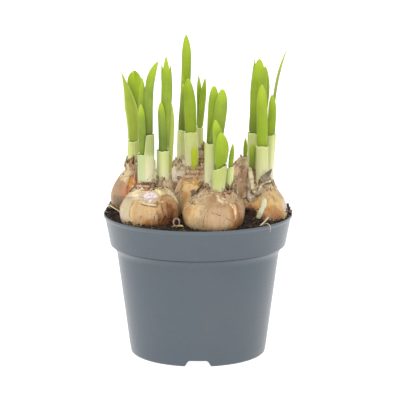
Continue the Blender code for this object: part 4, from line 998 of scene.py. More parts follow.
def bulbBody(spec):
    # rings up the axis. The radius gets flutes, creases and steps where an outer skin is torn away from an
    # inner one, patches are raised or peeled, and the shoots' pockets are let in.
    angles = roundAngles(int(spec["radius"] * bodyGrid["columns"]))[None, :]
    neckZ = spec["neck"][1]
    low = spec["widest"] - bulbDepth * spec["radius"] * np.cos(np.linspace(0.0, 0.5,
                                                                           bodyGrid["lowRows"]) * math.pi)
    high = np.linspace(spec["widest"], neckZ, int((neckZ - spec["widest"]) / bodyGrid["step"]))[1:]
    z = np.concatenate([low, high])[:, None]
    radius = bulbRadius(spec, z)
    arc = np.concatenate([[0.0], np.cumsum(np.hypot(np.diff(radius[:, 0]), np.diff(z[:, 0])))])[:, None]
    outward = np.stack([np.cos(angles), np.sin(angles)], axis=-1)
    base = bulbCentre(spec, z) + outward * (radius * bulbWobble(spec, angles))[..., None]
    points = pointsAt(base[..., 0], base[..., 1], z)
    wrap = wrapOf(spec, angles, arc)
    seed = spec["seed"] * 1.7
    rise = np.clip((z - spec["widest"]) / (neckZ - spec["widest"]), 0.0, 1.0)
    relief = skinDepth["flutes"] * drawnNoise(wrap, 0.2, 7.0, seed, 2)
    crease = 1.0 - np.abs(drawnNoise(wrap, 0.14, 3.6, seed + 5, 2))
    relief = relief + skinDepth["creases"] * ease(0.82, 1.0, crease) * (0.3 + 0.7 * rise)
    relief = relief + rise ** 3 * skinDepth["shoulder"] * drawnNoise(wrap, 0.5, 2.4, seed + 9, 3)
    tints, masks, marks = skinPaint(spec, angles, z, points)
    points[..., :2] += outward * (relief + marks - 0.1)[..., None]
    capShare = np.linspace(1.0, 0.06, bodyGrid["capRows"] + 1)[1:, None, None]
    middle = points[-1].mean(axis=0)
    cap = middle + (points[-1] - middle) * capShare
    cap[..., 2] += 0.8 * (1.0 - capShare[..., 0] ** 2)
    rings = np.concatenate([points, cap])
    for shoot in shoots.values():
        if shoot["bulb"] == spec["name"]:
            rings = sinkUnder(rings, shoot)

    def capped(values):
        # the cap takes the masks and tints of the neck's last ring
        return np.concatenate([values, np.repeat(values[-1:], bodyGrid["capRows"], axis=0)])

    return ringPart(rings, masks={kind: capped(mask) for kind, mask in masks.items()}, grain=capped(wrap),
                    tints=capped(tints))


def sinkUnder(rings, shoot):
    # a pocket for a sheath: what lies within its oval goes down under its foot
    foot, top = np.array(shoot["foot"]), np.array(shoot["top"])
    floor, margin = foot[2] - 0.35, 0.35
    slope = (top - foot) / (top[2] - foot[2])
    away = rings - foot - slope * (rings[..., 2:] - foot[2])
    width, normal = facing(shoot["face"])
    halfWide, halfDeep = shoot["footHalf"]
    share = np.hypot((away @ width) / (halfWide + margin), (away @ normal) / (halfDeep + margin))
    rings = rings.copy()
    rings[..., 2] = np.where((share < 1.0) & (rings[..., 2] > floor), floor, rings[..., 2])
    return rings


neckLayers = [
    # how far each layer of papery skin is from the middle, how much higher its hem and its torn edge are, how
    # deep its tears go, how far it leans out, and how much browner it is
    {"swell": 0.88, "hem": 0.0, "rise": 1.0, "tears": 2.6, "flare": 0.2, "bark": 0.2},
    {"swell": 0.97, "hem": -0.6, "rise": -0.6, "tears": 3.4, "flare": 0.8, "bark": 0.0},
    {"swell": 1.06, "hem": -1.4, "rise": -2.8, "tears": 3.6, "flare": 1.2, "bark": -0.2},
]


def neckTint(neck, layer, angles, z, up, seed):
    # strips of cream, tan and brown paper side by side; rolls get a painted highlight on their backs and
    # painted shade between them
    around = pointsAt(np.cos(angles) * 3.0, np.sin(angles) * 3.0, z * 0.12)
    strips = layeredNoise(around, 1.5, seed, 3) - 0.7 * (neck["bark"] + layer["bark"] - 0.35)
    fine = drawnNoise(around, 0.7, 0.5, seed + 4, 2)
    dark = 0.8 * ease(-0.42, -0.6, strips + 0.25 * fine) + 0.7 * ease(0.75, 1.0, up) * ease(0.05, -0.3, fine)
    tints = paintOver(tintOf(neck.get("tone", paper["tan"])), (0.8 * ease(0.04, 0.2, strips), paper["cream"]),
                      (ease(-0.16, -0.34, strips), paper["brown"]),
                      (0.5 * ease(0.34, 0.5, fine), paper["mauve"]),
                      (np.clip(dark, 0.0, 1.0), paper["dark"]))
    if "rolls" in neck:
        # painted light: the same waves as the rolls' relief, light on the crests and dark in the hollows
        wave = np.sin(2.3 * z + 1.2 * cellNoise(around * 2.0, 3.0, seed + 6) + 0.6)
        much = min(1.0, neck["rolls"] * 2.4) * ease(0.1, 0.3, up) * ease(1.0, 0.85, up)
        tints = paintOver(tints, (much * ease(0.1, 0.7, wave), paper["rollHighlight"]),
                          (0.8 * much * ease(-0.1, -0.7, wave), paper["rollShade"]))
    return tints


def neckReach(spec, z, axis, way, own):
    # from the neck's axis, the greater of the body's distance and the neck's own oval, blended where they
    # meet
    apart = axis - bulbCentre(spec, z)
    along = np.sum(apart * way, axis=-1)
    inside = along ** 2 - np.sum(apart ** 2, axis=-1) + (bulbRadius(spec, z) * 1.006) ** 2
    lift, blend = 0.32, 1.6
    body = np.where(z < spec["neck"][1], -along + np.sqrt(np.maximum(inside, 0.0)), 0.0) + lift
    reach = 0.5 * (own + body + np.sqrt((own - body) ** 2 + blend ** 2)) - 0.28 * blend
    return np.maximum(reach, np.maximum(own, body) - 0.1)


def neckSkin(spec, neck, layer, seed):
    # a sheet of papery skin that comes off the shoulder and stands up round a shoot; its edge is torn down
    # in deep narrow rents
    angles = roundAngles(neckGrid["columns"])
    share = np.linspace(0.0, 1.0, neckGrid["rows"])[:, None] ** 0.9
    rents = np.maximum(1.0 - np.abs(ringNoise(angles, 11.0, seed + 5, 2)) * 3.6, 0.0) ** 1.5
    highAt, highBy = neck.get("high", (0.0, 0.0))
    topZ = neck["top"] + layer["rise"] + neck["ragged"] * 1.5 * ringNoise(angles, 13.0, seed, 4)
    topZ = topZ - layer["tears"] * rents + highBy * np.cos(angles - math.radians(highAt))
    hemZ = neck["low"] + layer["hem"] + 1.8 * ringNoise(angles, 15.0, seed + 7, 4)
    topZ = np.maximum(topZ, hemZ + 1.2)
    z = hemZ + (topZ - hemZ) * share
    swell = np.interp(share, [0.0, 0.6, 1.0], [1.10, 1.02, 0.95]) * layer["swell"]
    wide = np.stack([neck["half"][0] * np.cos(angles), neck["half"][1] * np.sin(angles)], axis=-1)
    oval = np.linalg.norm(wide, axis=-1)
    way = wide / oval[..., None]
    axis = np.array(neck["at"]) + np.array(neck["lean"]) * share[..., None]
    place = pointsAt(np.cos(angles) * 6.0, np.sin(angles) * 6.0, z)
    fold = 1.0 - np.abs(drawnNoise(place, 0.2, 2.4, seed + 4, 3))
    crumple = 0.6 * (ease(0.6, 1.0, fold) - 0.4) + 0.2 * drawnNoise(place, 0.5, 1.6, seed, 2)
    rolls = neck.get("rolls", 0.0)
    rolled = np.abs(np.sin(1.15 * z + 0.6 * cellNoise(place, 3.0, seed + 6) + 0.3))
    crumple = crumple + rolls * rolled - 0.5 * rolls
    flare = layer["flare"] * share ** 3 * (0.3 + 1.3 * ringNoise(angles, 9.0, seed + 8, 2))
    reach = neckReach(spec, z, axis, way, oval * swell)
    wall = 0.34 - 0.14 * share
    faces = []
    for inset in (0.0, wall):
        level = axis + way * (reach + crumple * ease(0.0, 0.35, share) + flare - inset)[..., None]
        faces.append(pointsAt(level[..., 0], level[..., 1], z))
    outer, inner = faces
    away = outer[..., :2] - bulbCentre(spec, z)
    tints, masks, _ = skinPaint(spec, np.arctan2(away[..., 1], away[..., 0]), z, outer)
    own = ease(0.2, 0.65, share + 0.25 * layeredNoise(place, 3.0, seed + 1, 2))
    masks = {kind: mask * (1.0 - own) for kind, mask in masks.items()}
    masks["bark"] = masks["bark"] + np.clip(neck["bark"] + layer["bark"] - 0.3, 0.0, 0.7) * own
    pale = ringNoise(angles, 8.0, seed + 2, 3) > -0.1
    torn = 1.0 - np.clip((topZ - z) / 0.45, 0.0, 1.0)
    hem = 1.0 - np.clip((z - hemZ) / 0.5, 0.0, 1.0)
    # pale hems and torn tops, partly a painted highlight where the edges catch the light; the other torn tops
    # are dark
    masks["rim"] = np.maximum(masks["rim"], 0.35 * hem + 0.8 * torn * pale)
    masks["crack"] = np.maximum(masks["crack"], 0.8 * torn * ~pale)
    turn, up = np.broadcast_to(angles, z.shape), np.broadcast_to(share, z.shape)
    tints = tints + (neckTint(neck, layer, turn, z, up, seed) - tints) * own[..., None]

    def bothFaces(values):
        return np.concatenate([values, values[::-1]])

    return ringPart(np.concatenate([outer, inner[::-1]]), looped=True,
                    grain=bothFaces(wrapOf(spec, turn + seed, z)),
                    masks={kind: bothFaces(mask) for kind, mask in masks.items()}, tints=bothFaces(tints))


def neckWisps(neck, seed):
    # hair-thin shreds that stand off the neck's torn edge and bend outward
    draw = np.random.default_rng(int(seed * 10) + 3)
    share = np.linspace(0.0, 1.0, 8)[:, None]
    parts = []
    for _ in range(strewn["wisps"]):
        turn = draw.random() * 2.0 * math.pi
        way = np.array([math.cos(turn), math.sin(turn), 0.0])
        side = np.array([-way[1], way[0], 0.0])
        foot = np.array([neck["at"][0] + neck["half"][0] * way[0], neck["at"][1] + neck["half"][1] * way[1],
                         neck["top"] - 3.5 + 2.0 * draw.random()])
        out, lean, length = 0.3 + 2.2 * draw.random(), 2.4 * (draw.random() - 0.5), 2.5 + 3.5 * draw.random()
        path = foot + way * out * share ** 1.6 + side * lean * share ** 2 \
            + np.array([0.0, 0.0, 1.0]) * length * share * (1.0 - 0.35 * share)
        least, more = strewn["wispThick"]
        radius = (least + more * draw.random()) * (1.0 - 0.75 * share[:, 0])
        colour = paper[("cream", "tan", "brown", "dark")[draw.integers(4)]]
        parts.append(threadPart(path, radius, 4, tints=tintOf(colour)))
    return parts


def scrapTint(spots, colour, seed):
    # a scrap's own tone, with paler and darker clouds
    clouds = layeredNoise(spots, 2.6, seed + 1, 3)
    tints = paintOver(tintOf(colour), (0.4 * ease(0.0, 0.5, clouds), paper["milk"]))
    return tints * (1.0 - 0.3 * ease(0.0, -0.5, clouds))[..., None]


def barkTone(bark):
    # from cream to dry brown
    return tuple(np.array(paper["cream"]) * (1.0 - bark) + np.array(paper["brown"]) * bark)


def flapPart(spec, flap, seed):
    # a torn strip along a path on the skin. Its width swells and its edges are ragged; across it the lift
    # goes from the lower edge's figure to the upper edge's, and the rim curls
    steps, half = 32, 8
    share = np.linspace(0.0, 1.0, steps)
    azimuth, z = curveOf(flap["path"], steps).T
    table = skinArc(spec)
    radius = np.maximum(bulbRadius(spec, z), 3.0)
    ahead = np.stack([np.gradient(np.radians(azimuth)) * radius, np.gradient(np.interp(z, *table))], axis=-1)
    ahead = ahead / np.linalg.norm(ahead, axis=1, keepdims=True)
    square = np.stack([-ahead[:, 1], ahead[:, 0]], axis=-1)
    square = square * np.where(square[:, 1:] < 0.0, -1.0, 1.0)
    turn = np.arange(2 * half)[None, :] * math.pi / half
    side, across = np.sin(turn), -np.cos(turn)
    place = pointsAt(share * 9.0 + seed, seed * 1.3, 0.0)
    swell = np.sin(math.pi * (0.06 + 0.88 * share)) ** 0.55
    lower = 1.0 + 0.5 * layeredNoise(place, 1.3, seed, 3)
    upper = 1.0 + 0.7 * layeredNoise(place, 1.0, seed + 3, 3)
    reach = flap["width"] / 2.0 * swell[:, None] * np.where(across > 0.0, upper[:, None], lower[:, None])
    offset = reach * across
    newAzimuth = azimuth[:, None] + np.degrees(offset * square[:, :1] / radius[:, None])
    newZ = np.interp(np.interp(z, *table)[:, None] + offset * square[:, 1:], table[1], table[0])
    low, high = flap["lift"]
    rolled = low + (high - low) * (0.5 + 0.5 * across) ** 2 * swell[:, None]
    spots = skinPoint(spec, newAzimuth, newZ, 0.0 * newZ)[0]
    wave = 0.2 * layeredNoise(spots, 2.0, seed, 2)
    rolled = rolled + between(flap.get("raise", (0.0, 0.0)), share[:, None])
    lens = np.sign(side) * np.abs(side) ** 0.5 * 0.14
    rings = skinPoint(spec, newAzimuth, newZ, rolled + wave + lens)[0]
    edge = np.abs(across) ** 6
    painted = isinstance(flap["paint"], tuple)
    bark = 0.3 if painted else flap["paint"]
    # pale edges on cream strips, partly a painted highlight, and dark edges on brown ones
    masks = {"bark": 0.0 if painted else 0.5 * bark, "rim": 0.8 * edge * (1.0 - bark),
             "crack": 0.6 * edge * bark}
    tints = scrapTint(spots, flap["paint"] if painted else barkTone(bark), seed)
    return ringPart(rings, masks=masks, grain=wrapOf(spec, np.radians(newAzimuth), newZ), tints=tints)


def flakePart(spec, at, size, lift, seed, bark):
    # a scrap of skin, worked out in rings round its middle: an uneven outline, one side lifted and curled
    columns, rows = 28, 6
    turn = roundAngles(columns)
    outline = 1.0 + 0.45 * ringNoise(turn, 9.0, seed, 4)
    share = np.concatenate([np.linspace(0.08, 1.0, rows), np.linspace(1.0, 0.08, rows)])[:, None]
    over = np.repeat([1.0, 0.0], rows)[:, None]
    across = share * outline * np.cos(turn) * size[0] / 2.0
    up = share * outline * np.sin(turn) * size[1] / 2.0
    azimuth, z = skinPlace(spec, at[0], at[1], across, up)
    lean = seed * 2.4
    curl = np.maximum((across * math.cos(lean) + up * math.sin(lean)) / max(size) * 2.0, 0.0) ** 2
    spots = skinPoint(spec, azimuth, z, 0.0 * z)[0]
    raised = lift * (0.35 + curl) + 0.12 * layeredNoise(spots, 1.6, seed, 2) + 0.22 * over
    rings = skinPoint(spec, azimuth, z, raised)[0]
    edge = share[::-1] ** 8
    # pale edges on cream scraps, partly a painted highlight, and dark edges on brown ones
    masks = {"bark": 0.6 * bark, "rim": 0.8 * edge * (1.0 - bark), "crack": 0.6 * edge * bark}
    return ringPart(rings[::-1], masks=masks, grain=wrapOf(spec, np.radians(azimuth), z)[::-1],
                    tints=scrapTint(spots, barkTone(bark), seed)[::-1])


def strewnFlakes(spec):
    # scraps at places drawn by the bulb's seed, most of them on the shoulder
    draw = np.random.default_rng(spec["seed"] + 40)
    parts = []
    top = spec["neck"][1]
    for number in range(strewn["flakes"]):
        z = top - 1.0 - (top - spec["widest"]) * 0.6 * draw.random() ** 1.3
        size = between(strewn["width"], draw.random(2))
        lift = between(strewn["lift"], draw.random())
        at = (360.0 * (number + draw.random()) / strewn["flakes"], z)
        parts.append(flakePart(spec, at, size * np.array([1.0, 0.8]), lift, spec["seed"] + number * 1.9,
                               float(draw.random() ** 2)))
    return parts


def dirtParts(spec):
    # small crumbs of earth that cling to the skin
    parts = []
    least, more = strewn["dirtSize"]
    for number, (count, azimuths, heights) in enumerate(spec["dirt"]):
        draw = np.random.default_rng(spec["seed"] * 10 + number)
        azimuth = between(azimuths, draw.random(count))
        z = between(heights, draw.random(count) ** 1.4)
        size = least + more * draw.random(count) ** 2.5
        places = skinPoint(spec, azimuth, z, size * 0.5 + 0.15)[0]
        parts.append(crumbCopies(places, size, draw, rings=3, sides=5, paint=1))
    return parts


def shardPart(shard, seed):
    # what is left of an old sheath: a flat strap along the marks, narrower at its torn upper end
    steps, sides = 28, 14
    share = np.linspace(0.0, 1.0, steps)
    path = curveOf(shard["marks"], steps)
    torn = 1.0 + 0.3 * layeredNoise(path, 1.6, seed, 3)
    half = shard["half"] * torn * (1.0 - (1.0 - shard["end"]) * share ** 1.5)
    half = half * np.sqrt(1.0 - 0.97 * share ** 14)
    spots = np.repeat(path[:, None, :], sides, axis=1)
    return threadPart(path, half, sides, tints=scrapTint(spots, shard["tone"], seed), out=(0.0, -1.0, 0.2),
                      flat=shard["flat"])


def buildBulb(name, spec):
    spec["name"] = name
    parts = [bulbBody(spec)]
    for number, neck in enumerate(spec["necks"]):
        for order, layer in enumerate(neckLayers):
            parts.append(neckSkin(spec, neck, layer, spec["seed"] + number * 2.1 + order * 11.0))
        parts += neckWisps(neck, spec["seed"] + number * 2.1)
    parts += [flapPart(spec, flap, spec["seed"] * 3.0 + number * 1.7)
              for number, flap in enumerate(spec["flaps"])]
    parts += [shardPart(shard, spec["seed"]) for shard in spec["shards"]]
    makePiece(name, parts + strewnFlakes(spec) + dirtParts(spec), [skinMaterial, earthMaterial])


# the pale rim tone is partly a painted highlight on torn edges; the dark edge tone is painted shadow at their
# foot, and the dark edge of brown scraps
skinMarks = {
    "rim": (240, 228, 190), "crack": (74, 46, 28), "flesh": (240, 226, 222), "fleshVein": (182, 142, 176),
    "freckle": (112, 66, 34), "barkDark": (84, 60, 40), "earth": look["earthDark"],
}


def bulbSkin():
    # papery skin: the painted tints, made lighter and darker by clouds, by hairs and veins that run up to
    # the neck and by small mottles, then the marks of the masks, among them pale torn edges that are partly a
    # painted highlight and dark lines at their foot that are painted shadow
    material, tree = newMaterial("bulbSkin")
    place, grain = placeOf(tree), grainOf(tree)
    wide = placeGroup(tree, patches, place, 150.0, 0.42, 0.66)
    fine = placeGroup(tree, patches, place, 620.0, 0.46, 0.66)
    veins = placeGroup(tree, streaks, grain, 1.1, 0.05, 0.57, 0.63)
    hairs = placeGroup(tree, streaks, grain, 3.2, 0.12, 0.46, 0.6)
    bands = placeGroup(tree, streaks, grain, 0.45, 0.04, 0.42, 0.6)
    freckles = placeGroup(tree, specks, place, 800.0, 0.36)
    bark = maskOf(tree, "bark")
    clinging = mathOf(tree, "ADD", timesOf(tree, maskOf(tree, "soot"), 0.85), 0.1)
    crumbs = placeGroup(tree, specks, place, 1300.0, clinging)
    colour = overlay(tree, tintsOf(tree), skinMarks, (bands, 0.4, (0.86, 0.80, 0.70)),
                     (wide, 0.35, (0.88, 0.83, 0.76)),
                     (fine, 0.45, (0.78, 0.70, 0.60)), (hairs, 0.25, (1.14, 1.13, 1.1)),
                     (veins, 0.4, (0.70, 0.58, 0.46)))
    flesh = toneMix(tree, timesOf(tree, mathOf(tree, "MAXIMUM", veins, fine), 0.6),
                    skinMarks["flesh"], skinMarks["fleshVein"])
    colour = overlay(tree, mixOf(tree, maskOf(tree, "peel"), colour, flesh), skinMarks,
                     (timesOf(tree, bark, fine), 0.7, "barkDark"), ("rim", 0.85, "rim"),
                     ("crack", 0.85, "crack"),
                     (freckles, 0.5, "freckle"), (crumbs, 0.85, "earth"))
    dull = mathOf(tree, "MAXIMUM", bark, crumbs)
    roughness = sumOf(tree, (rangeOf(tree, fine, 0.0, 1.0, 0.32, 0.44), 1.0), (dull, 0.25))
    height = sumOf(tree, (hairs, 0.7), (veins, 0.5), (noiseOf(tree, place, 1100.0, 4.0, 0.6), 0.8),
                   (crumbs, 1.0))
    return finish(material, colour, roughness, height, 0.12, {"Specular IOR Level": 0.4})


# Shoots. Each has a sheath that the leaves stand in: the bulb, middle of foot and top, half widths there, the
# azimuth that it faces, and how ragged its lip is and how green it is

shoots = {
    "sheathLeftBack": ("bulbLeftBack", (-41.7, 7.0, 113.5), (-41.0, 5.4, 135.0), (3.5, 3.2), (3.6, 3.2),
        -86, 0.3, 0.7),
    "sheathLeftFront": ("bulbLeftFront", (-32.2, -26.0, 108.5), (-32.2, -26.4, 138.2), (5.2, 3.7),
        (5.3, 3.8), -90, 0.3, 0.3, {"step": 6.2, "shade": 0.18, "cool": 0.5}),
    "sheathLeftFrontRight": ("bulbLeftFront", (-21.7, -20.2, 108.0), (-21.8, -20.6, 133.4), (4.0, 3.8),
        (4.0, 3.8), -93, 0.4, 0.3, {"shade": 0.04, "cool": 0.35}),
    "sheathMiddleBack": ("bulbMiddleBack", (-10.9, 24.2, 113.0), (-9.8, 23.6, 139.2), (3.3, 3.0),
        (3.4, 3.0), -80, 0.4, 0.5, {"tilt": -0.1}),
    "sheathCentre": ("bulbCentre", (-3.2, -3.8, 110.0), (-4.5, -4.2, 142.4), (4.3, 3.4), (4.1, 3.6), -92,
        0.25, 0.5),
    "sheathBack": ("bulbBack", (1.1, 40.2, 114.0), (1.0, 38.6, 138.2), (2.4, 2.5), (2.35, 2.5), -72, 0.3,
        0.5),
    "sheathFront": ("bulbFront", (8.3, -31.3, 106.0), (9.3, -31.0, 139.6), (4.4, 3.5), (5.2, 3.6), -84, 0.4,
        0.4, {"tilt": -0.1, "shade": 0.16}),
    "sheathFrontLeft": ("bulbFront", (11.9, -40.9, 105.5), (13.2, -41.6, 126.2), (3.8, 3.4), (4.7, 3.8),
        -94, 0.3, 0.9, {"tilt": 0.45, "shade": 0.24}),
    "sheathFrontRight": ("bulbFront", (18.9, -34.8, 108.0), (20.0, -35.0, 125.4), (2.2, 2.2), (2.3, 2.2),
        -90, 0.4, 0.4, {"tilt": 0.4}),
    "sheathRight": ("bulbRight", (40.3, -9.9, 107.0), (40.2, -11.4, 134.6), (4.0, 3.4), (3.9, 3.4), -90,
        0.2, 0.25, {"shade": 0.1}),
    "sheathRightLeft": ("bulbRight", (37.4, 0.9, 109.0), (37.2, 0.2, 141.2), (5.8, 3.7), (5.9, 3.9), -88,
        0.4, 0.5),
    "sheathRightRight": ("bulbRight", (44.6, -3.0, 108.5), (46.4, -4.2, 140.2), (2.6, 2.6), (2.75, 2.7),
        -98, 1.0, 0.35, {"tilt": 0.3}),
}
shoots = {name: named("bulb foot top footHalf topHalf face ragged green", row)
          for name, row in shoots.items()}
# rows outside and inside; wall at foot and lip
sheathGrid = {"columns": 96, "rows": (28, 10), "wall": (0.6, 0.3)}


def sheathLip(spec, angles, seed):
    # height of the lip round the sheath: tilted, ragged, and stepped where one side stands higher
    across = np.cos(angles)
    rise = spec.get("tilt", 0.0) * across * spec["topHalf"][0]
    rise = rise + spec["ragged"] * 1.3 * ringNoise(angles, 16.0, seed, 3)
    if "step" in spec:
        rise = rise + spec["step"] * (2.0 * ease(-0.22, 0.08, across) - 1.0)
    return rise


def sheathPart(spec, seed):
    # up the outside, over the lip and down inside to the floor; the oval grows from foot to top
    angles = roundAngles(sheathGrid["columns"])
    foot, top = np.array(spec["foot"]), np.array(spec["top"])
    width, normal = facing(spec["face"])
    lip = sheathLip(spec, angles, seed)
    outside, inside = sheathGrid["rows"]
    share = np.concatenate([np.linspace(0.0, 1.0, outside), np.linspace(1.0, 0.02, inside)])[:, None]
    inner = np.concatenate([np.zeros(outside), np.ones(inside)])[:, None]
    wall = between(sheathGrid["wall"], share ** 2)
    crease = 0.10 * layeredNoise(pointsAt(np.cos(angles), np.sin(angles), 0.0) * 3.0, 1.0, seed, 3)
    ribs = 0.035 * np.cos(34 * angles + seed)
    early = 1.0 if "step" in spec else 0.35
    follow = ease(0.72, 1.0, share) * early + (1.0 - early) * ease(0.93, 1.0, share)
    z = foot[2] + (top[2] - foot[2]) * share + follow * lip
    half = between((np.array(spec["footHalf"]), np.array(spec["topHalf"])), share[..., None])
    grow = (crease + ribs) * (1.0 - 0.6 * inner) - wall * inner
    across = (half[..., 0] + grow) * np.cos(angles)
    deep = (half[..., 1] + grow) * np.sin(angles)
    rings = between((foot, top), share[..., None]) + across[..., None] * width - deep[..., None] * normal
    rings[..., 2] = z
    grain = pointsAt(half[..., 0] * np.cos(angles), half[..., 0] * np.sin(angles), z)
    below = np.maximum(foot[2] + (top[2] - foot[2]) + lip - z, 0.0)
    # painted shade: the sheaths that the lamps light most are darkened by this share
    masks = {"below": below, "green": spec["green"], "shade": spec.get("shade", 0.0),
             "cool": spec.get("cool", 0.0) * ease(0.05, 0.75, -np.cos(angles))}
    if "step" in spec:
        lowest = top[2] - spec["step"]
        masks["thin"] = ease(lowest - 1.5, lowest + 1.5, z) * ease(-0.2, 0.2, np.cos(angles))
    return ringPart(rings, masks=masks, grain=grain)


def buildSheaths():
    for number, (name, spec) in enumerate(shoots.items()):
        makePiece(name, [sheathPart(spec, number * 1.3)], [sheathMaterial])


sheathTones = {
    "high": (206, 212, 134), "low": (230, 222, 180), "fresh": (190, 202, 92), "bands": (184, 198, 132),
    "cool": (172, 198, 156), "thin": (160, 176, 92), "veins": (238, 238, 204), "lip": (238, 236, 190),
    "shade": (0, 0, 0), "earth": look["earthDark"],
}


def sheathSkin():
    # pale skin that greens towards its lip, with fine parallel veins, a few specks of earth low down, and
    # painted shade on the sheaths that the lamps light most
    material, tree = newMaterial("sheathSkin")
    place, grain = placeOf(tree), grainOf(tree)
    veins = placeGroup(tree, streaks, grain, 1.9, 0.02, 0.42, 0.62)
    bands = placeGroup(tree, streaks, grain, 0.45, 0.03, 0.38, 0.66)
    below = maskOf(tree, "below")
    crumbs = placeGroup(tree, specks, place, 1100.0, rangeOf(tree, below, 16.0, 28.0, 0.0, 0.75))
    fresh = timesOf(tree, maskOf(tree, "green"), rangeOf(tree, below, 24.0, 0.0))
    colour = toneMix(tree, rangeOf(tree, below, 0.0, 26.0), sheathTones["high"], sheathTones["low"])
    colour = overlay(tree, colour, sheathTones, (fresh, 1.0, "fresh"), (bands, 0.3, "bands"),
                     ("cool", 1.0, "cool"),
                     ("thin", 0.85, "thin"), (veins, 0.16, "veins"), ("shade", 1.0, "shade"),
                     (rangeOf(tree, below, 0.7, 0.0), 0.6, "lip"), (crumbs, 1.0, "earth"))
    height = sumOf(tree, (veins, 1.0), (noiseOf(tree, place, 1300.0), 0.5))
    return finish(material, colour, rangeOf(tree, bands, 0.0, 1.0, 0.36, 0.5), height, 0.06,
                  {"Subsurface Weight": 0.15, "Subsurface Radius": (0.002, 0.002, 0.0008),
                   "Subsurface Scale": 1.0})


# Leaves: the sheath or the point that each stands in; offset towards the front and along the width; half
# width in the sheath, just above it and at its widest; cupping at foot and tip; thickness; tip point;
# length, roundness and point of the tip's taper

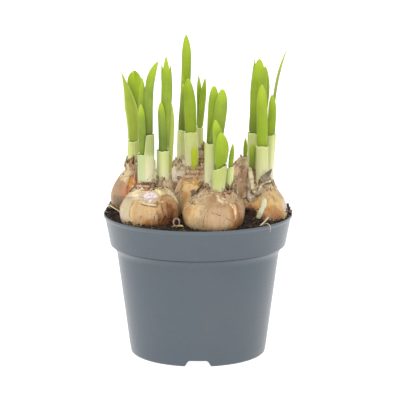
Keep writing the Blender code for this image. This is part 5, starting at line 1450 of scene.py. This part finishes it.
leaves = {
    "leafLeftBack1": ("sheathLeftBack", -1.1, 0.0, (2.6, 3.4, 4.5), (-0.5, -1.9), 1.1, (-40.4, 10.6, 179.5),
        7.0, 2.0, 0.62, {"hood": 1.0, "wave": 0.8}),
    "leafLeftBack2": ("sheathLeftBack", 1.05, 0.0, (2.8, 3.4, 4.1), (0.5, 0.7), 1.1, (-48.8, 2.6, 181.0),
        25.0, 1.25, 1.2, {"deep": 0.1, "bend": 1.9, "edge": 1.0, "pale": 0.25}),
    "leafLeftFront1": ("sheathLeftFront", 1.55, -2.1, (1.7, 2.3, 2.35), (0.2, 0.3), 1.0,
        (-35.2, -29.2, 163.6), 10.0, 2.0, 0.6, {"blue": 0.75}),
    "leafLeftFront2": ("sheathLeftFront", -0.75, -1.7, (1.9, 2.6, 2.9), (0.3, 0.5), 1.0,
        (-34.4, -24.6, 180.0), 22.0, 1.8, 0.8, {"deep": 0.75, "blue": 0.7}),
    "leafLeftFront3": ("sheathLeftFront", 0.35, 1.8, (1.65, 2.6, 2.75), (0.2, 0.4), 1.2,
        (-24.4, -26.4, 190.0), 13.0, 2.0, 0.65, {"deep": 1.0, "bend": 5.4, "lip": 143.6, "blue": 0.7}),
    "leafLeftFrontRight1": ("sheathLeftFrontRight", 0.75, 0.1, (2.8, 3.0, 3.1), (0.1, 0.2), 0.9,
        (-19.6, -21.4, 192.6), 20.0, 1.6, 0.8, {"deep": 0.65, "blue": 0.4, "bow": 1.5}),
    "leafLeftFrontRight2": ("sheathLeftFrontRight", -0.4, -0.8, (1.9, 1.9, 1.9), (0.0, 0.0), 0.8,
        (-22.5, -19.2, 187.2), 18.0, 1.6, 0.8, {"blue": 0.4, "bow": 2.5}),
    "leafLeftFrontRight3": ("sheathLeftFrontRight", -1.55, 0.8, (1.5, 1.9, 2.0), (0.0, 0.0), 0.8,
        (-16.9, -17.0, 186.4), 18.0, 1.6, 0.8, {"blue": 0.4, "bow": 1.5}),
    "leafLeftFrontRight4": ("sheathLeftFrontRight", 1.9, -0.1, (1.8, 2.4, 2.4), (0.2, 0.4), 0.8,
        (-22.9, -24.4, 164.4), 11.0, 2.0, 0.6, {"deep": 0.4, "blue": 0.9}),
    "leafMiddleBack1": ("sheathMiddleBack", -0.9, 0.0, (2.0, 3.1, 3.1), (-0.3, -0.6), 1.0,
        (-7.6, 26.6, 200.6), 15.0, 1.9, 0.72, {"deep": 0.2, "bow": 0.5}),
    "leafMiddleBack2": ("sheathMiddleBack", 0.95, 0.0, (1.7, 2.0, 2.1), (0.4, 0.4), 1.0,
        (-9.9, 19.8, 176.0), 18.0, 1.8, 0.8, {"deep": 0.9, "blue": 0.45}),
    "leafCentre1": ("sheathCentre", 1.3, 0.0, (3.0, 3.7, 3.8), (0.75, 1.3), 1.3, (-6.2, -6.6, 176.4), 17.0,
        2.0, 0.55, {"bow": 0.4}),
    "leafCentre2": ("sheathCentre", -1.3, 0.0, (3.0, 3.4, 3.4), (-0.75, -1.0), 1.3, (-9.4, 1.2, 171.8),
        16.0, 2.0, 0.6, {"deep": 0.7, "blue": 0.4}),
    "leafBack1": ("sheathBack", 0.85, 0.0, (1.3, 2.0, 2.2), (0.25, 0.3), 0.9, (4.7, 35.8, 171.2), 15.0, 1.8,
        0.75, {"bow": 0.9}),
    "leafBack2": ("sheathBack", -0.8, 0.0, (1.25, 1.8, 1.9), (-0.25, -0.3), 0.9, (0.4, 41.4, 172.2), 15.0,
        1.8, 0.75, {"bow": 0.3}),
    "leafFront1": ("sheathFront", 1.2, 1.0, (3.3, 4.4, 3.9), (0.65, 1.1), 1.2, (15.0, -33.6, 173.8), 13.0,
        2.0, 0.55, {"deep": 0.6, "bend": 1.2, "bow": 0.9, "blue": 0.6}),
    "leafFront2": ("sheathFront", -1.2, -0.7, (3.1, 3.4, 3.3), (-0.65, -0.8), 1.2, (9.9, -26.8, 174.8),
        12.0, 2.0, 0.5, {"deep": 0.6, "blue": 0.2}),
    "leafFrontLeft1": ("sheathFrontLeft", -1.2, -0.3, (2.3, 3.2, 3.4), (0.3, 0.5), 1.2,
        (10.6, -40.4, 155.6), 13.0, 2.0, 0.6, {"deep": 0.7, "bend": 1.6, "blue": 0.2}),
    "leafFrontLeft2": ("sheathFrontLeft", 1.15, 0.0, (2.3, 3.9, 4.2), (0.7, 1.2), 1.2, (14.0, -43.8, 148.4),
        12.0, 2.0, 0.55, {"deep": 0.35, "bow": 0.8, "lip": 127.8}),
    "leafFrontRight1": ("sheathFrontRight", 0.0, 0.0, (0.95, 1.5, 1.6), (0.0, 0.0), 1.0,
        (21.5, -34.6, 140.2), 9.0, 1.8, 0.7),
    "leafRight1": ("sheathRight", 0.35, 0.0, (2.9, 3.5, 3.5), (0.6, 1.2), 1.9, (39.8, -12.8, 173.4), 14.0,
        2.0, 0.6, {"deep": 0.1}),
    "leafRightLeft1": ("sheathRightLeft", 1.35, -0.3, (4.1, 5.0, 5.3), (0.6, 1.2), 1.1, (38.4, -4.2, 188.8),
        24.0, 2.0, 0.62, {"deep": 0.7, "bow": 0.9, "blue": 0.15}),
    "leafRightLeft2": ("sheathRightLeft", -0.35, -1.5, (2.4, 2.7, 2.8), (0.0, 0.0), 0.8, (35.5, 0.6, 188.4),
        22.0, 1.3, 0.95),
    "leafRightLeft3": ("sheathRightLeft", -1.6, 1.2, (1.9, 3.4, 3.7), (0.0, 0.0), 0.8, (42.3, 4.8, 182.8),
        17.0, 2.0, 0.65, {"bow": 1.7}),
    "leafRightRight1": ("sheathRightRight", 0.75, -0.5, (1.5, 2.5, 2.6), (0.15, 0.4), 0.85,
        (46.3, -6.8, 166.4), 12.0, 2.0, 0.6),
    "leafRightRight2": ("sheathRightRight", -0.85, -0.4, (0.8, 1.0, 0.9), (0.0, 0.0), 0.8,
        (56.2, 0.2, 195.2), 14.0, 1.2, 0.75, {"bend": 3.8, "pale": 0.4, "blue": 1.0}),
    "leafRightBack1": ((30.2, 20.8, 116.0), 0.0, 0.0, (1.1, 1.1, 1.4), (0.0, 0.0), 1.5, (30.5, 20.2, 134.4),
        8.0, 2.0, 0.6, {"deep": 0.5, "face": -90}),
    "leafCentre3": ((-1.9, -9.6, 114.0), 0.0, 0.0, (1.9, 1.9, 2.1), (0.0, 0.0), 1.3, (-2.2, -10.2, 134.0),
        4.0, 2.4, 0.5, {"face": -90, "glow": 0.8}),
    "leafLeftFrontRight5": ((-18.2, -18.4, 111.0), 0.0, 0.0, (1.1, 1.3, 1.8), (0.0, 0.0), 1.0,
        (-16.4, -20.4, 163.0), 14.0, 1.8, 0.7, {"face": -86, "pale": 0.6, "blue": 0.3, "bow": 0.3}),
    "leafRightLeft4": ((33.6, -5.6, 111.0), 0.0, 0.0, (1.5, 1.5, 1.8), (0.0, 0.0), 1.2, (34.3, -5.0, 135.0),
        6.0, 2.0, 0.6, {"deep": 0.9, "face": -90, "blue": 0.3}),
}
leaves = {name: named("stand out side half cup thick tip taper blunt point", row)
          for name, row in leaves.items()}
# points across one face; rows in the sheath, above it, in the taper
leafGrid = {"columns": 20, "rows": (4, 26, 18)}
# where the bend starts, and the tip's half width
leafStand = {"belowLip": 0.5, "straight": 2.0, "thinnest": 0.12}


def tipWidth(left, spec):
    # full width until the taper starts, then a run-out that is round or pointed
    gone = np.clip(1.0 - left / spec["taper"], 0.0, 1.0)
    return np.maximum(1.0 - gone ** spec["blunt"], 0.0) ** spec["point"]


def leafPath(spec):
    # straight in the sheath, then an even bend to the tip. Gives the row's share, centre and half width
    sunkRows, plainRows, taperRows = leafGrid["rows"]
    tip = np.array(spec["tip"])
    halfLow, halfFree, halfWidest = spec["half"]
    if spec["stand"] in shoots:
        shoot = shoots[spec["stand"]]
        foot, top = np.array(shoot["foot"]), np.array(shoot["top"])
        slope = (top - foot) / (top[2] - foot[2])
        width, normal = facing(shoot["face"])
        shift = normal * spec["out"] + width * spec["side"]
        lip = spec.get("lip", top[2] - shoot.get("step", 0.0)
                       - abs(shoot.get("tilt", 0.0)) * shoot["topHalf"][0])
        start = foot + slope * 1.0 + shift
        leave = foot + slope * (lip - foot[2] - leafStand["belowLip"]) + shift
    else:
        start = np.array(spec["stand"])
        slope = (tip - start) / (tip[2] - start[2])
        width, normal = facing(spec["face"])
        leave = start + slope * leafStand["straight"]
    rise = tip[2] - leave[2]
    plain = 1.0 - spec["taper"] / rise
    taper = plain + (1.0 - plain) * (1.0 - (1.0 - np.linspace(0.0, 1.0, taperRows + 1)[1:]) ** 1.7)
    share = np.concatenate([np.zeros(sunkRows), np.linspace(0.0, plain, plainRows), taper])
    sunk = np.concatenate([np.linspace(1.0, 0.12, sunkRows), np.zeros(plainRows + taperRows)])[:, None]
    straight = leave + slope * rise * share[:, None]
    bent = straight + (tip - straight) * share[:, None] ** spec.get("bend", 2.0)
    bent = bent + width * spec.get("bow", 0.0) * np.sin(math.pi * share)[:, None]
    bent[:, 2] = leave[2] + rise * share
    centre = bent + (start - leave) * sunk
    spread = np.clip((rise * share - 0.6) / 2.2, 0.0, 1.0)
    half = halfLow + (halfFree - halfLow) * spread * (2.0 - spread)
    half = half + (halfWidest - halfFree) * np.minimum(share / max(plain, 0.01), 1.0)
    half = np.maximum(half * tipWidth(rise * (1.0 - share), spec), leafStand["thinnest"])
    return share[:, None], centre, half[:, None], width, normal, rise


def leafPart(spec, seed):
    # an oval section, cupped and lightly ribbed, carried along the path
    share, centre, half, width, normal, rise = leafPath(spec)
    turn = np.arange(2 * leafGrid["columns"])[None, :] * math.pi / leafGrid["columns"]
    across, side = -np.cos(turn), np.sin(turn)
    lens = np.sign(side) * np.abs(side) ** 0.75
    widest = spec["half"][2]
    cup = np.where(share > 0.0, between(spec["cup"], share) * (half / widest) ** 2, spec["cup"][0])
    bowl = (1.0 - np.sqrt(1.0 - 0.8 * across ** 2)) / (1.0 - math.sqrt(0.2))
    thick = np.maximum(spec["thick"] * (1.0 - 0.35 * share ** 3), 0.6)
    thick = thick * (0.35 + 0.65 * np.minimum(half / 0.8, 1.0))
    ribs = 0.045 * np.cos(across * math.pi * 5.5) * (1.0 - across ** 4) * np.minimum(half / 1.5, 1.0)
    drift = 0.16 * cellNoise(centre * 0.6, 9.0, seed)[:, None] * ease(0.05, 0.4, share)
    edge = 1.0 + 0.02 * cellNoise(pointsAt(share * rise, 0.0, 0.0), 5.0, seed + 3)
    near = ease(0.7, 1.0, share)
    hood, wave = spec.get("hood", 0.0), spec.get("wave", 0.0)
    level = thick / 2.0 * lens + side * ribs - cup * bowl + drift
    level = level + hood * near ** 2 + wave * near * np.sin(4.6 * across + 9.0 * share)
    rings = centre[:, None, :] + (half * edge * across)[..., None] * width + level[..., None] * normal
    rings[..., 2] += near * (0.55 * wave * np.cos(6.0 * across + 1.0) - 0.4 * hood * near)
    along = np.concatenate([[0.0], np.cumsum(np.linalg.norm(np.diff(centre, axis=0), axis=1))])[:, None]
    masks = {"rise": share, "above": share * rise, "rim": np.abs(across) ** 6 * spec.get("edge", 0.15),
             "side": across ** 2, "deep": spec.get("deep", 0.25)}
    masks.update({label: spec.get(label, 0.0) for label in ("blue", "pale", "glow")})
    return ringPart(rings, masks=masks, grain=pointsAt(across * widest, 7.0 * seed, along))


def buildLeaves():
    for number, (name, spec) in enumerate(leaves.items()):
        makePiece(name, [leafPart(spec, number * 0.7)], [leafMaterial])


leafTones = {
    "fresh": [(152, 174, 26), (136, 160, 22)], "cool": [(116, 138, 48), (96, 118, 38)],
    "bands": (118, 144, 26), "veins": (176, 196, 76), "low": (92, 108, 18), "high": (186, 208, 44),
    "glow": (196, 206, 40), "pale": (190, 190, 104), "rim": (214, 224, 136), "tip": (214, 222, 120),
}


def leafGreen():
    # fresh green, yellower at foot and tip, bluer on some leaves, with long parallel veins and a pale margin;
    # painted shade darkens the edges, so the leaves look rounder, and the lower part of leaves that stand
    # deep
    material, tree = newMaterial("leafGreen")
    place, grain = placeOf(tree), grainOf(tree)
    veins = placeGroup(tree, streaks, grain, 2.1, 0.015, 0.42, 0.62)
    bands = placeGroup(tree, streaks, grain, 0.5, 0.02, 0.36, 0.66)
    cloud = placeGroup(tree, patches, place, 90.0, 0.35, 0.7)
    rise = maskOf(tree, "rise")
    fresh, cool = toneMix(tree, cloud, *leafTones["fresh"]), toneMix(tree, cloud, *leafTones["cool"])
    # painted shade low down, as much as the leaf's deep share says, for leaves deep among the others
    low = timesOf(tree, rangeOf(tree, maskOf(tree, "above"), 20.0, 0.0), maskOf(tree, "deep"))
    # painted shade towards both edges, so that the leaf looks rounder
    sides = mathOf(tree, "POWER", maskOf(tree, "side"), 2.0)
    colour = mixOf(tree, timesOf(tree, maskOf(tree, "blue"), rangeOf(tree, rise, 1.0, 0.5)), fresh, cool)
    colour = overlay(tree, colour, leafTones, (bands, 0.2, "bands"), (veins, 0.1, "veins"), (low, 1.0, "low"),
                     (rangeOf(tree, rise, 0.7, 1.0), 0.5, "high"), ("glow", 0.8, "glow"),
                     ("pale", 0.8, "pale"),
                     (sides, 0.75, (0.66, 0.70, 0.56)), ("rim", 1.0, "rim"),
                     (rangeOf(tree, rise, 0.965, 1.0), 0.6, "tip"))
    height = sumOf(tree, (veins, 1.0), (noiseOf(tree, place, 1600.0), 0.4))
    return finish(material, colour, rangeOf(tree, bands, 0.0, 1.0, 0.38, 0.5), height, 0.04,
                  {"Specular IOR Level": 0.3, "Subsurface Weight": 0.12,
                   "Subsurface Radius": (0.0014, 0.002, 0.0005), "Subsurface Scale": 1.0})


# Compost

compost = {
    "edgeZ": 88.8, "crown": 1.6, "rimRadius": 60.0, "topRadius": 58.8, "columns": 240, "rows": 74,
    "side": [(40.5, 6.15), (41.8, 6.9), (42.8, 9.3), (50.0, 65.9), (52.9, 68.9), (54.35, 71.0), (57.0, 84.6),
             (58.6, 88.1)],
    "lumps": [(8.0, 1.15), (4.0, 0.7), (2.1, 0.45), (1.2, 0.3)],    # width and height
    "crumbs": [(1200, (0.25, 1.0)), (260, (0.7, 1.9))],     # how many, and their sizes
    "fibres": 170,
    "crumbReach": 58.2, "fibreReach": (55.0, 56.5),    # where fibres start, and where they end at the latest
    "pocket": (0.35, 0.4),     # gaps beside and under a bulb
    "lip": (58.7, 90.1),    # radius from which spilled crumbs lie on the pot's lip, and its height
    "heaps": [      # place, height and reach
        ((-55.0, 2.0), 3.0, 5.0), ((-54.0, 14.0), 4.6, 8.0), ((-49.0, 27.0), 3.6, 8.0),
              ((-55.0, -9.0), 1.6, 5.0),
        ((56.6, 1.0), 6.0, 4.4), ((31.6, -22.4), 3.2, 5.0), ((52.0, 18.0), 4.0, 8.0),
              ((55.4, -6.0), 3.0, 4.5),
    ],
    "spilled": [    # crumbs over the lip: how many, azimuths, reaches, sizes, and a tone where they are dusty
        (60, (-14.0, 24.0), (56.2, 59.2), (0.3, 1.0), (128, 106, 100)),
        (50, (-10.0, 34.0), (54.0, 59.0), (0.3, 0.9), None),
        (90, (148.0, 186.0), (54.0, 59.0), (0.3, 0.95), None),
    ],
    "threads": [    # thin bits that stand or lie on the compost: marks along each, radius and tone
        ([(-59.7, -1.0, 95.4), (-58.0, -1.6, 94.6), (-55.0, -2.0, 92.8)], 0.16, (206, 214, 170)),
        ([(-59.6, -3.0, 93.4), (-58.8, -3.6, 91.6), (-56.5, -4.2, 90.6)], 0.15, (206, 214, 170)),
        ([(58.2, -1.0, 91.2), (58.8, -1.4, 95.4), (57.2, -1.8, 99.6)], 0.14, (196, 176, 166)),
        ([(55.6, -4.0, 92.6), (56.8, -4.4, 97.4), (59.2, -4.6, 98.4)], 0.16, (214, 196, 190)),
        ([(54.4, -2.0, 95.6), (56.0, -2.4, 101.4), (59.0, -2.6, 102.2)], 0.13, (214, 200, 196)),
        ([(-59.4, -3.0, 98.2), (-57.0, -3.6, 97.2), (-54.0, -4.4, 94.6)], 0.17, (230, 214, 184)),
        ([(51.4, -20.6, 91.4), (53.0, -21.8, 93.4), (54.0, -23.4, 91.8), (52.6, -24.4, 91.0)], 0.3,
         (190, 198, 80)),
        ([(-12.4, -46.4, 90.4), (-10.6, -47.4, 91.2), (-8.8, -47.8, 90.6)], 0.5, (214, 212, 130)),
        ([(-16.6, -44.6, 89.8), (-14.0, -46.4, 90.9), (-11.6, -45.6, 89.9)], 0.26, (204, 170, 122)),
    ],
    "husk": {"at": (-13.2, -42.4, 92.2), "radius": (2.0, 2.4), "tube": 0.75, "tone": (178, 148, 140)},
}


def compostHeight(x, y):
    # a crown with lumps in four sizes, calm at the pot's wall, and a pocket under each bulb
    reach = np.hypot(x, y)
    share = reach / compost["rimRadius"]
    places = pointsAt(x, y, 3.0)
    lumps = sum(high * cellNoise(places, size, seed) for seed, (size, high) in enumerate(compost["lumps"], 1))
    height = compost["edgeZ"] + compost["crown"] * (1.0 - share ** 2) + (1.0 - 0.8 * share ** 8) * lumps
    for middle, high, wide in compost["heaps"]:
        apart = np.hypot(x - middle[0], y - middle[1])
        height = height + high * np.exp(-(apart / wide) ** 2) * ease(60.4, 57.6, reach)
    beside, below = compost["pocket"]
    for spec in bulbs.values():
        apart = np.hypot(x - spec["at"][0], y - spec["at"][1])
        angle = np.arctan2(y - spec["at"][1], x - spec["at"][0])
        near = apart / (spec["radius"] * bulbWobble(spec, angle) + beside)
        depth = bulbDepth * spec["radius"]
        under = spec["widest"] - depth * np.minimum(np.sqrt(np.clip(1.0 - near ** 2, 0.0, 1.0) / bulbBase),
                                                    1.0)
        height = np.where(near < 1.0, np.minimum(height, under - below), height)
    return height


def inBulb(x, y, margin):
    # whether a place on the compost lies under a bulb's widest ring, drawn in by margin
    return np.any([np.hypot(x - spec["at"][0], y - spec["at"][1]) < bulbRadius(spec, np.array(90.0)) - margin
                   for spec in bulbs.values()], axis=0)


def compostBody():
    # up the pot's inside, over the top to the middle
    angles = roundAngles(compost["columns"])
    side = np.array(compost["side"])
    side = np.concatenate([np.linspace(a, b, 4)[:-1] for a, b in zip(side, side[1:])] + [side[-1:]])
    low = pointsAt(side[:, :1] * np.cos(angles), side[:, :1] * np.sin(angles), side[:, 1:])
    reach = np.linspace(compost["topRadius"], 0.5, compost["rows"])[:, None]
    x, y = reach * np.cos(angles), reach * np.sin(angles)
    return ringPart(np.concatenate([low, pointsAt(x, y, compostHeight(x, y))]), masks={"crumb": 0.0})


def roundSolid(rings, sides):
    # a small closed ball on a grid: the shape that each crumb is made from
    rise, turn = np.linspace(0.0, math.pi, rings + 2)[1:-1, None], roundAngles(sides)
    return ringPart(pointsAt(np.sin(rise) * np.cos(turn), np.sin(rise) * np.sin(turn), -np.cos(rise)))


def crumbCopies(places, sizes, draw, rings=4, sides=6, paint=0):
    # one ball, repeated at the places: each copy gets its size, and a stretch, dents and a turn that draw
    # gives
    ball = roundSolid(rings, sides)
    unit, count = ball["points"], len(places)
    stretch = 0.55 + 0.75 * draw.random((count, 1, 3))
    dents = 1.0 + 0.28 * draw.standard_normal((count, len(unit), 1)).clip(-1.4, 1.4)
    x, y, z = np.moveaxis(unit[None] * stretch * dents * sizes[:, None, None], -1, 0)
    spin = draw.random((count, 2)) * 2.0 * math.pi
    (cosA, cosB), (sinA, sinB) = np.cos(spin.T)[..., None], np.sin(spin.T)[..., None]
    x, z = x * cosA + z * sinA, z * cosA - x * sinA
    x, y = x * cosB - y * sinB, x * sinB + y * cosB
    points = (pointsAt(x, y, z) + places[:, None, :]).reshape(-1, 3)
    steps = np.arange(count)[:, None, None] * len(unit)
    bright = 0.2 + 0.8 * np.repeat(draw.random(count), len(unit))
    return {"points": points, "quads": (ball["quads"][None] + steps).reshape(-1, 4),
            "triangles": (ball["triangles"][None] + steps).reshape(-1, 3), "grain": points,
            "tint": np.zeros((len(points), 3)), "masks": {"crumb": bright}, "paint": paint}


def freePlaces(draw, count, tries, reach, margin):
    # places drawn evenly over the compost, kept where no bulb stands
    reach, turn = reach * np.sqrt(draw.random(count * tries)), draw.random(count * tries) * 2.0 * math.pi
    x, y = reach * np.cos(turn), reach * np.sin(turn)
    free = ~inBulb(x, y, margin)
    return x[free][:count], y[free][:count]


def crumbPart(count, sizes, seed):
    # loose crumbs all over the compost
    draw = np.random.default_rng(seed)
    x, y = freePlaces(draw, count, 4, compost["crumbReach"], -0.2)
    size = between(sizes, draw.random(len(x)) ** 2.5)
    return crumbCopies(pointsAt(x, y, compostHeight(x, y) + size * 0.25), size, draw)


def fibrePart(count, seed):
    # thin bent threads that lie on the compost: three sides, carried along a curve that wanders
    draw = np.random.default_rng(seed)
    steps = 9
    nearest, farthest = compost["fibreReach"]
    x, y = freePlaces(draw, count, 3, nearest, -0.8)
    count = len(x)
    length = 2.5 + 6.0 * draw.random(count) ** 1.5
    heading = draw.random((count, 1)) * 2.0 * math.pi
    bend = (draw.random((count, 1)) - 0.5) * 2.6
    share = np.linspace(-0.5, 0.5, steps)
    way = heading + bend * share
    x = x[:, None] + np.cumsum(np.cos(way), axis=1) * length[:, None] / steps
    y = y[:, None] + np.cumsum(np.sin(way), axis=1) * length[:, None] / steps
    inward = np.minimum(1.0, farthest / np.hypot(x, y))
    x, y = x * inward, y * inward
    arch = (0.25 - share ** 2) * 4.0 * draw.random((count, 1)) * 1.6
    z = compostHeight(x, y)
    z = np.maximum(z, z.mean(axis=1, keepdims=True)) + 0.25 + arch
    thin = 0.09 + 0.16 * draw.random(count) ** 2
    fade = np.sqrt(1.0 - (share * 1.9) ** 2)
    parts = []
    for path, thickness in zip(pointsAt(x, y, z), thin):
        if not inBulb(path[:, 0], path[:, 1], -0.4).any():
            masks = {"crumb": 0.0, "fibre": 0.3 + 0.7 * draw.random()}
            parts.append(threadPart(path, thickness * fade, 3, masks))
    return parts


def threadPart(path, radius, sides, masks=None, paint=0, tints=None, out=(0.13, 0.21, 0.97), flat=1.0):
    # a thread: circles square to the path, or ovals that are flattened in the direction out
    ahead = np.gradient(path, axis=0)
    ahead = ahead / np.linalg.norm(ahead, axis=1, keepdims=True)
    across = np.cross(ahead, np.array(out))
    across = across / np.maximum(np.linalg.norm(across, axis=1, keepdims=True), 1e-6)
    upward = np.cross(across, ahead)
    turn = roundAngles(sides)[None, :, None]
    rings = path[:, None, :] + radius[:, None, None] * (np.cos(turn) * across[:, None, :]
                                                        - flat * np.sin(turn) * upward[:, None, :])
    along = np.cumsum(np.linalg.norm(np.gradient(path, axis=0), axis=1))[:, None]
    grain = pointsAt(2.0 * np.cos(turn[..., 0]), 2.0 * np.sin(turn[..., 0]), along)
    return ringPart(rings, masks=masks, grain=grain, paint=paint, tints=tints)


def curveOf(marks, steps):
    # a smooth path through a few marks: one polynomial for each coordinate
    marks = np.array(marks, float)
    places = np.linspace(0.0, 1.0, len(marks))
    share = np.linspace(0.0, 1.0, steps)
    return np.stack([np.polyval(np.polyfit(places, values, len(marks) - 1), share) for values in marks.T],
                    axis=-1)


def spilledCrumbs(seed, count, azimuths, reaches, sizes, dust):
    # crumbs that have spilled over the lip
    draw = np.random.default_rng(seed)
    turn = np.radians(between(azimuths, draw.random(count)))
    reach = between(reaches, draw.random(count))
    size = between(sizes, draw.random(count) ** 2)
    x, y = reach * np.cos(turn), reach * np.sin(turn)
    lipRadius, lipZ = compost["lip"]
    z = np.maximum(compostHeight(x, y), lipZ * (reach > lipRadius)) + 0.4 * size
    part = crumbCopies(pointsAt(x, y, z), size, draw)
    if dust:
        part.update(paint=1, tint=np.tile(tintOf(dust), (len(part["points"]), 1)))
    return part


def huskPart():
    # an empty scale that lies on its side: a ring of uneven tube, open to the front
    spec = compost["husk"]
    turn, around = roundAngles(40)[:, None], roundAngles(10)[None, :]
    uneven = ringNoise(turn[:, 0], 4.0, 5.0, 3)[:, None]
    tube = spec["tube"] * (1.0 + 0.5 * uneven)
    reach = 1.0 + 0.12 * uneven
    x = (spec["radius"][0] * reach + tube * np.cos(around)) * np.cos(turn)
    z = (spec["radius"][1] * reach + tube * np.cos(around)) * np.sin(turn)
    y = 1.5 * tube * np.sin(around) + 0.5 * z
    rings = np.array(spec["at"]) + pointsAt(x, y, z)
    tints = paintOver(tintOf(spec["tone"]), (ease(0.0, 0.35, layeredNoise(rings, 1.6, 3.0, 3)),
                                             paper["brown"]))
    return ringPart(rings, looped=True, paint=1, tints=tints)


def buildCompost():
    parts = [compostBody()]
    parts += [crumbPart(*row, 11 + number) for number, row in enumerate(compost["crumbs"])]
    parts += [huskPart()] + [spilledCrumbs(21 + number, *row)
                             for number, row in enumerate(compost["spilled"])]
    parts += fibrePart(compost["fibres"], 13)
    steps = 18
    ends = np.sqrt(np.clip(1.0 - np.linspace(-0.98, 0.98, steps) ** 4, 0.0, None))
    for marks, radius, colour in compost["threads"]:
        parts.append(threadPart(curveOf(marks, steps), radius * ends, 7, paint=1, tints=tintOf(colour)))
    makePiece("compost", parts, [earthMaterial, strandMaterial], replaces=False)
    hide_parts("soil")


def compostEarth():
    # dark peat: each crumb has its own brown, with a few pale bits and light threads
    material, tree = newMaterial("compostEarth")
    place = placeOf(tree)
    crumb, fibre = maskOf(tree, "crumb"), maskOf(tree, "fibre")
    coarse = placeGroup(tree, patches, place, 260.0, 0.4, 0.66)
    fine = placeGroup(tree, patches, place, 1500.0, 0.4, 0.7)
    colour = toneMix(tree, coarse, look["earthDark"], look["earth"])
    colour = overlay(tree, colour, look, (fine, 0.5, "earthRed"),
                     (rangeOf(tree, crumb, 0.5, 0.95, 0.0, 0.7), 1.0, "earthRed"),
                     (rangeOf(tree, crumb, 0.95, 0.99, 0.0, 0.8), 1.0, "earthPale"),
                     (rangeOf(tree, fibre, 0.0, 1.0, 0.0, 0.9), 1.0, "fibre"))
    height = sumOf(tree, (noiseOf(tree, place, 900.0, 5.0, 0.7), 1.0), (fine, 0.4))
    return finish(material, colour, rangeOf(tree, fine, 0.0, 1.0, 0.78, 0.97), height, 0.5)


# The loose strands and the side shoot: marks along each, half width and thickness, and tones

strands = {
    "sideShoot": {"bulb": "bulbRight", "marks": [(272, 102.4), (271, 98.8), (264, 94.8), (259, 90.7)],
                  "raise": 1.0,
                  "half": 1.75, "flat": 0.6, "tones": [(226, 222, 192), (204, 206, 158)],
                  "slot": "pale_shoot"},
    "looseStick": {"marks": [(38.2, -40.8, 89.7), (41.2, -33.0, 90.6), (44.1, -24.2, 92.0)], "half": 0.58,
                   "flat": 0.8, "tones": [(250, 236, 206), (226, 196, 150)], "slot": "dry_fibre"},
    "looseFibre": {"marks": [(39.8, -39.6, 89.6), (41.9, -41.0, 91.2), (44.1, -42.6, 90.5),
                             (44.3, -42.8, 85.8)],
                   "half": 0.26, "flat": 0.9, "tones": [(226, 220, 210), (176, 160, 146)],
                   "slot": "dry_fibre"},
    "looseStraw": {"marks": [(-58.4, -2.6, 96.2), (-53.4, -4.6, 93.8), (-48.4, -8.0, 91.0)], "half": 0.6,
                   "flat": 0.7, "tones": [(240, 226, 190), (206, 184, 140)], "slot": "dry_fibre"},
}


def strandPart(spec, seed):
    # an oval thread along the marks, or up a bulb's skin, rounded at its ends, with uneven width and two
    # tones
    steps, sides = 40, 14
    path, out = curveOf(spec["marks"], steps), (0.13, 0.21, 0.97)
    if "bulb" in spec:
        path, normals = skinPoint(bulbs[spec["bulb"]], *path.T, np.full(steps, spec["raise"]))
        out = normals[steps // 2]
    share = np.linspace(-1.0, 1.0, steps)
    half = spec["half"] * np.sqrt(np.clip(1.0 - np.abs(share) ** 7, 0.01, None))
    half = half * (1.0 + 0.16 * layeredNoise(path, 3.0, seed, 2))
    around = roundAngles(sides)
    place = pointsAt(np.cos(around) * 2.0, np.sin(around) * 2.0, 3.0 * share[:, None])
    first, second = spec["tones"]
    tints = paintOver(tintOf(first), (ease(-0.1, 0.4, layeredNoise(place, 1.6, seed + 3, 3)), second))
    return threadPart(path, half, sides, tints=tints, out=out, flat=spec["flat"])


def buildStrands():
    for number, (name, spec) in enumerate(strands.items()):
        makePiece(name, [strandPart(spec, 2.0 + number * 1.9)], [strandMaterial])


def strandSkin():
    # dry or pale plant stuff: the tints, with fine lines along it, darker spots and grains of earth
    material, tree = newMaterial("strandSkin")
    place, grain = placeOf(tree), grainOf(tree)
    lines = placeGroup(tree, streaks, grain, 2.6, 0.1, 0.42, 0.62)
    fine = placeGroup(tree, patches, place, 700.0, 0.42, 0.66)
    colour = overlay(tree, tintsOf(tree), look, (lines, 0.45, (0.78, 0.72, 0.60)),
                     (fine, 0.4, (0.86, 0.80, 0.70)),
                     (placeGroup(tree, specks, place, 1400.0, 0.22), 0.7, "earthDark"))
    height = sumOf(tree, (lines, 1.0), (noiseOf(tree, place, 1500.0), 0.6))
    return finish(material, colour, rangeOf(tree, fine, 0.0, 1.0, 0.5, 0.68), height, 0.08)


# The run of the work

buildCamera()
buildStudio()
buildPot()
print("pot done")
earthMaterial = compostEarth()
skinMaterial = bulbSkin()
for bulbName, bulbSpec in bulbs.items():
    buildBulb(bulbName, bulbSpec)
print("bulbs done")
sheathMaterial, leafMaterial = sheathSkin(), leafGreen()
buildSheaths()
buildLeaves()
print("shoots done")
strandMaterial = strandSkin()
buildCompost()
buildStrands()
print("compost done")
